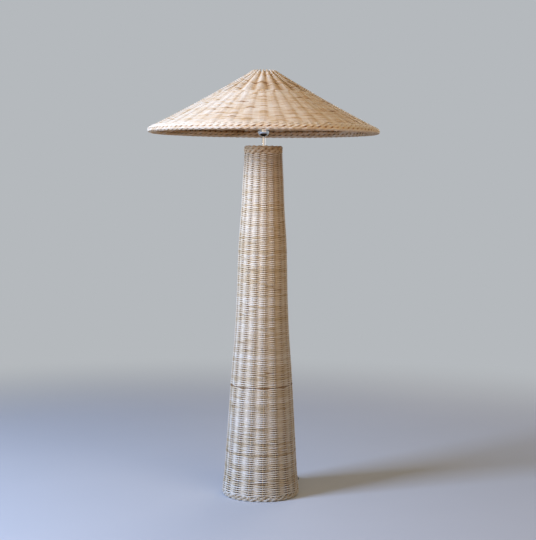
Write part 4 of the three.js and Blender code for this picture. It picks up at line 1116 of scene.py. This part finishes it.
# Plug
# A flat two-pin plug of black PVC, moulded on the cord with a ribbed boot, and two round plated
# pins.
plug_end, plug_nose, plug_y, plug_z = 0.060, 0.096, 0.180, 0.00685
plug_collar, plug_power = 0.0070, 0.55
pin_start, pin_half_spacing = 0.0963, 0.0095
boot_outline = np.vstack([[(hairline, 0.0)], [(0.0034, 0.0)],
                          boot_ribs(0.0004, 0.0196, 0.0049, 0.0068, 5), [(hairline, 0.0197)]])
skinned("plug_boot_ribs", lathe(boot_outline, 32, (0.0397, plug_y, plug_z), 0.0), "stand",
        "switch_plastic", cord_sheath, ["plug_boot"], sharp=40)
# Shares of the way to the nose, and half widths there as shares of the collar's
way_shares = np.array([0, 0, 0.02, 0.08, 0.16, 0.25, 0.35, 0.5, 0.7, 0.9, 0.97, 1, 1])
wide_shares = np.array([0.01, 0.85, 0.92, 1, 1.35, 1.95, 2.35, 2.5, 2.52, 2.52, 2.48, 2.38, 0.01])
plug_x = (plug_end + (plug_nose - plug_end) * way_shares)[:, None]
plug_wide = plug_collar * wide_shares[:, None]
plug_thick = np.minimum(plug_z, plug_wide) * np.clip(plug_wide / 0.0060, 0, 1)
plug_across, plug_up = squared_circle(once_round(40), plug_power)
plug_rings = np.stack(np.broadcast_arrays(plug_x, plug_y + plug_wide * plug_across,
                                          plug_z + plug_thick * plug_up), -1)[None]
skinned("plug_shell", plug_rings, "stand", "switch_plastic", cord_sheath, ["plug_body"], sharp=40)
pin_outline = softened([(hairline, 0.0), (0.0020, 0.0), (0.0020, 0.0180), (0.0012, 0.0190),
                        (hairline, 0.0190)], 0.0006)
pin_rings = np.concatenate([
    lathe(pin_outline, 24, (pin_start, plug_y + side * pin_half_spacing, plug_z), 0.0)
    for side in (-1, 1)])
skinned("plug_pins", pin_rings, "stand", "zinc_steel", zinc_plate, ["plug_pin_1", "plug_pin_2"],
        sharp=40)

# Floor, backdrop and light
# A pale paper floor that fades into the same pale grey on every side. The key light is soft and
# cool, from the left as from a window; weaker and warmer ones stand to the right, in front and
# behind.
floor_reach, floor_corners = 14.0, 64
fade_from, fade_to = 1.5, 3.4
backdrop_grey = "#b5b9bd"
floor_rim = around_axis(floor_reach, once_round(floor_corners), 0.0)
floor_mesh = bpy.data.meshes.new("paper_floor")
floor_mesh.from_pydata(floor_rim.tolist(), [], [list(range(floor_corners))])
paper = put("paper_floor", floor_mesh)


def seen_directly(tree):
    """One for what the camera sees itself, in a mirror or through glass, nought for light that
    falls on the lamp."""
    path = add(tree, "LightPath")
    shown = path.outputs["Is Camera Ray"]
    for kind in ("Is Glossy Ray", "Is Transmission Ray"):
        shown = add(tree, "Math", {0: shown, 1: path.outputs[kind]}, operation="MAXIMUM")
    return shown


# Matt paper: no shine, cool and pale, with a fine tooth, lost in the backdrop's grey far out.
# From below it is clear, so that the lamp's underside can be looked at.
paper_finish, tree, place = new_finish("matt_paper")
grain = add(tree, "TexNoise", {"Vector": place, "Scale": 180.0, "Detail": 4.0})
tooth = add(tree, "Bump", {"Height": grain, "Strength": 0.1, "Distance": 0.0005})
cloud = add(tree, "TexNoise", {"Vector": place, "Scale": 1.5, "Detail": 2.0})
paper_tint = add(tree, "Mix", {0: cloud, 6: linear("#bbc0c7"), 7: linear("#c3c7cd")},
                 data_type="RGBA")
matt = add(tree, "BsdfPrincipled", {"Base Color": paper_tint, "Roughness": 0.9, "Normal": tooth})
glow = add(tree, "Emission", {"Color": linear(backdrop_grey), "Strength": seen_directly(tree)})
reach = add(tree, "VectorMath", {0: place}, operation="LENGTH")
faded = add(tree, "MapRange", {0: reach.outputs["Value"], 1: fade_from, 2: fade_to},
            interpolation_type="SMOOTHSTEP")
sheet = add(tree, "MixShader", {0: faded, 1: matt, 2: glow})
below = add(tree, "NewGeometry").outputs["Backfacing"]
clear = add(tree, "BsdfTransparent")
seen = add(tree, "MixShader", {0: below, 1: sheet, 2: clear})
add(tree, "OutputMaterial", {"Surface": seen})
floor_mesh.materials.append(paper_finish)


def soft_lamp(name, place, aim, size, power, colour):
    """A square lamp that faces a point."""
    light = bpy.data.lights.new(name, "AREA")
    light.size = size
    light.energy = power
    light.color = linear(colour)[:3]
    made = put(name, light)
    made.location = place
    away = np.array(place) - np.array(aim)
    level = math.hypot(away[0], away[1])
    made.rotation_euler = (math.atan2(level, away[2]), 0, math.atan2(away[0], -away[1]))
    made.visible_camera = False


soft_lamp("window_light", (-3.3, -1.97, 2.3), (0, 0, 1.1), size=1.5, power=290, colour="#c0d6ff")
soft_lamp("ceiling_bounce", (1.7, -2.4, 3.2), (0, 0, 0.9), size=2.4, power=29, colour="#ffeec6")
soft_lamp("side_fill", (1.6, -2.5, 1.3), (0, 0, 1.1), size=2.2, power=9, colour="#ffbe7c")
soft_lamp("front_fill", (-0.7, -2.6, 1.5), (0, 0, 1.3), size=1.8, power=12, colour="#ffd9a0")
soft_lamp("back_fill", (1.4, 3.4, 2.4), (0, 0, 0.8), size=2.4, power=38, colour="#fff0e0")

room_strength = 0.09
world = bpy.data.worlds.new("room_light")
world.use_nodes = True
bpy.context.scene.world = world
tree = world.node_tree
tree.nodes.clear()
backdrop = add(tree, "Background", {"Color": linear(backdrop_grey), "Strength": 1.0})
room = add(tree, "Background", {"Color": linear("#ece0cf"), "Strength": room_strength})
shown = add(tree, "MixShader", {0: seen_directly(tree), 1: room, 2: backdrop})
add(tree, "OutputWorld", {"Surface": shown})

bpy.context.scene.view_settings.view_transform = "Standard"
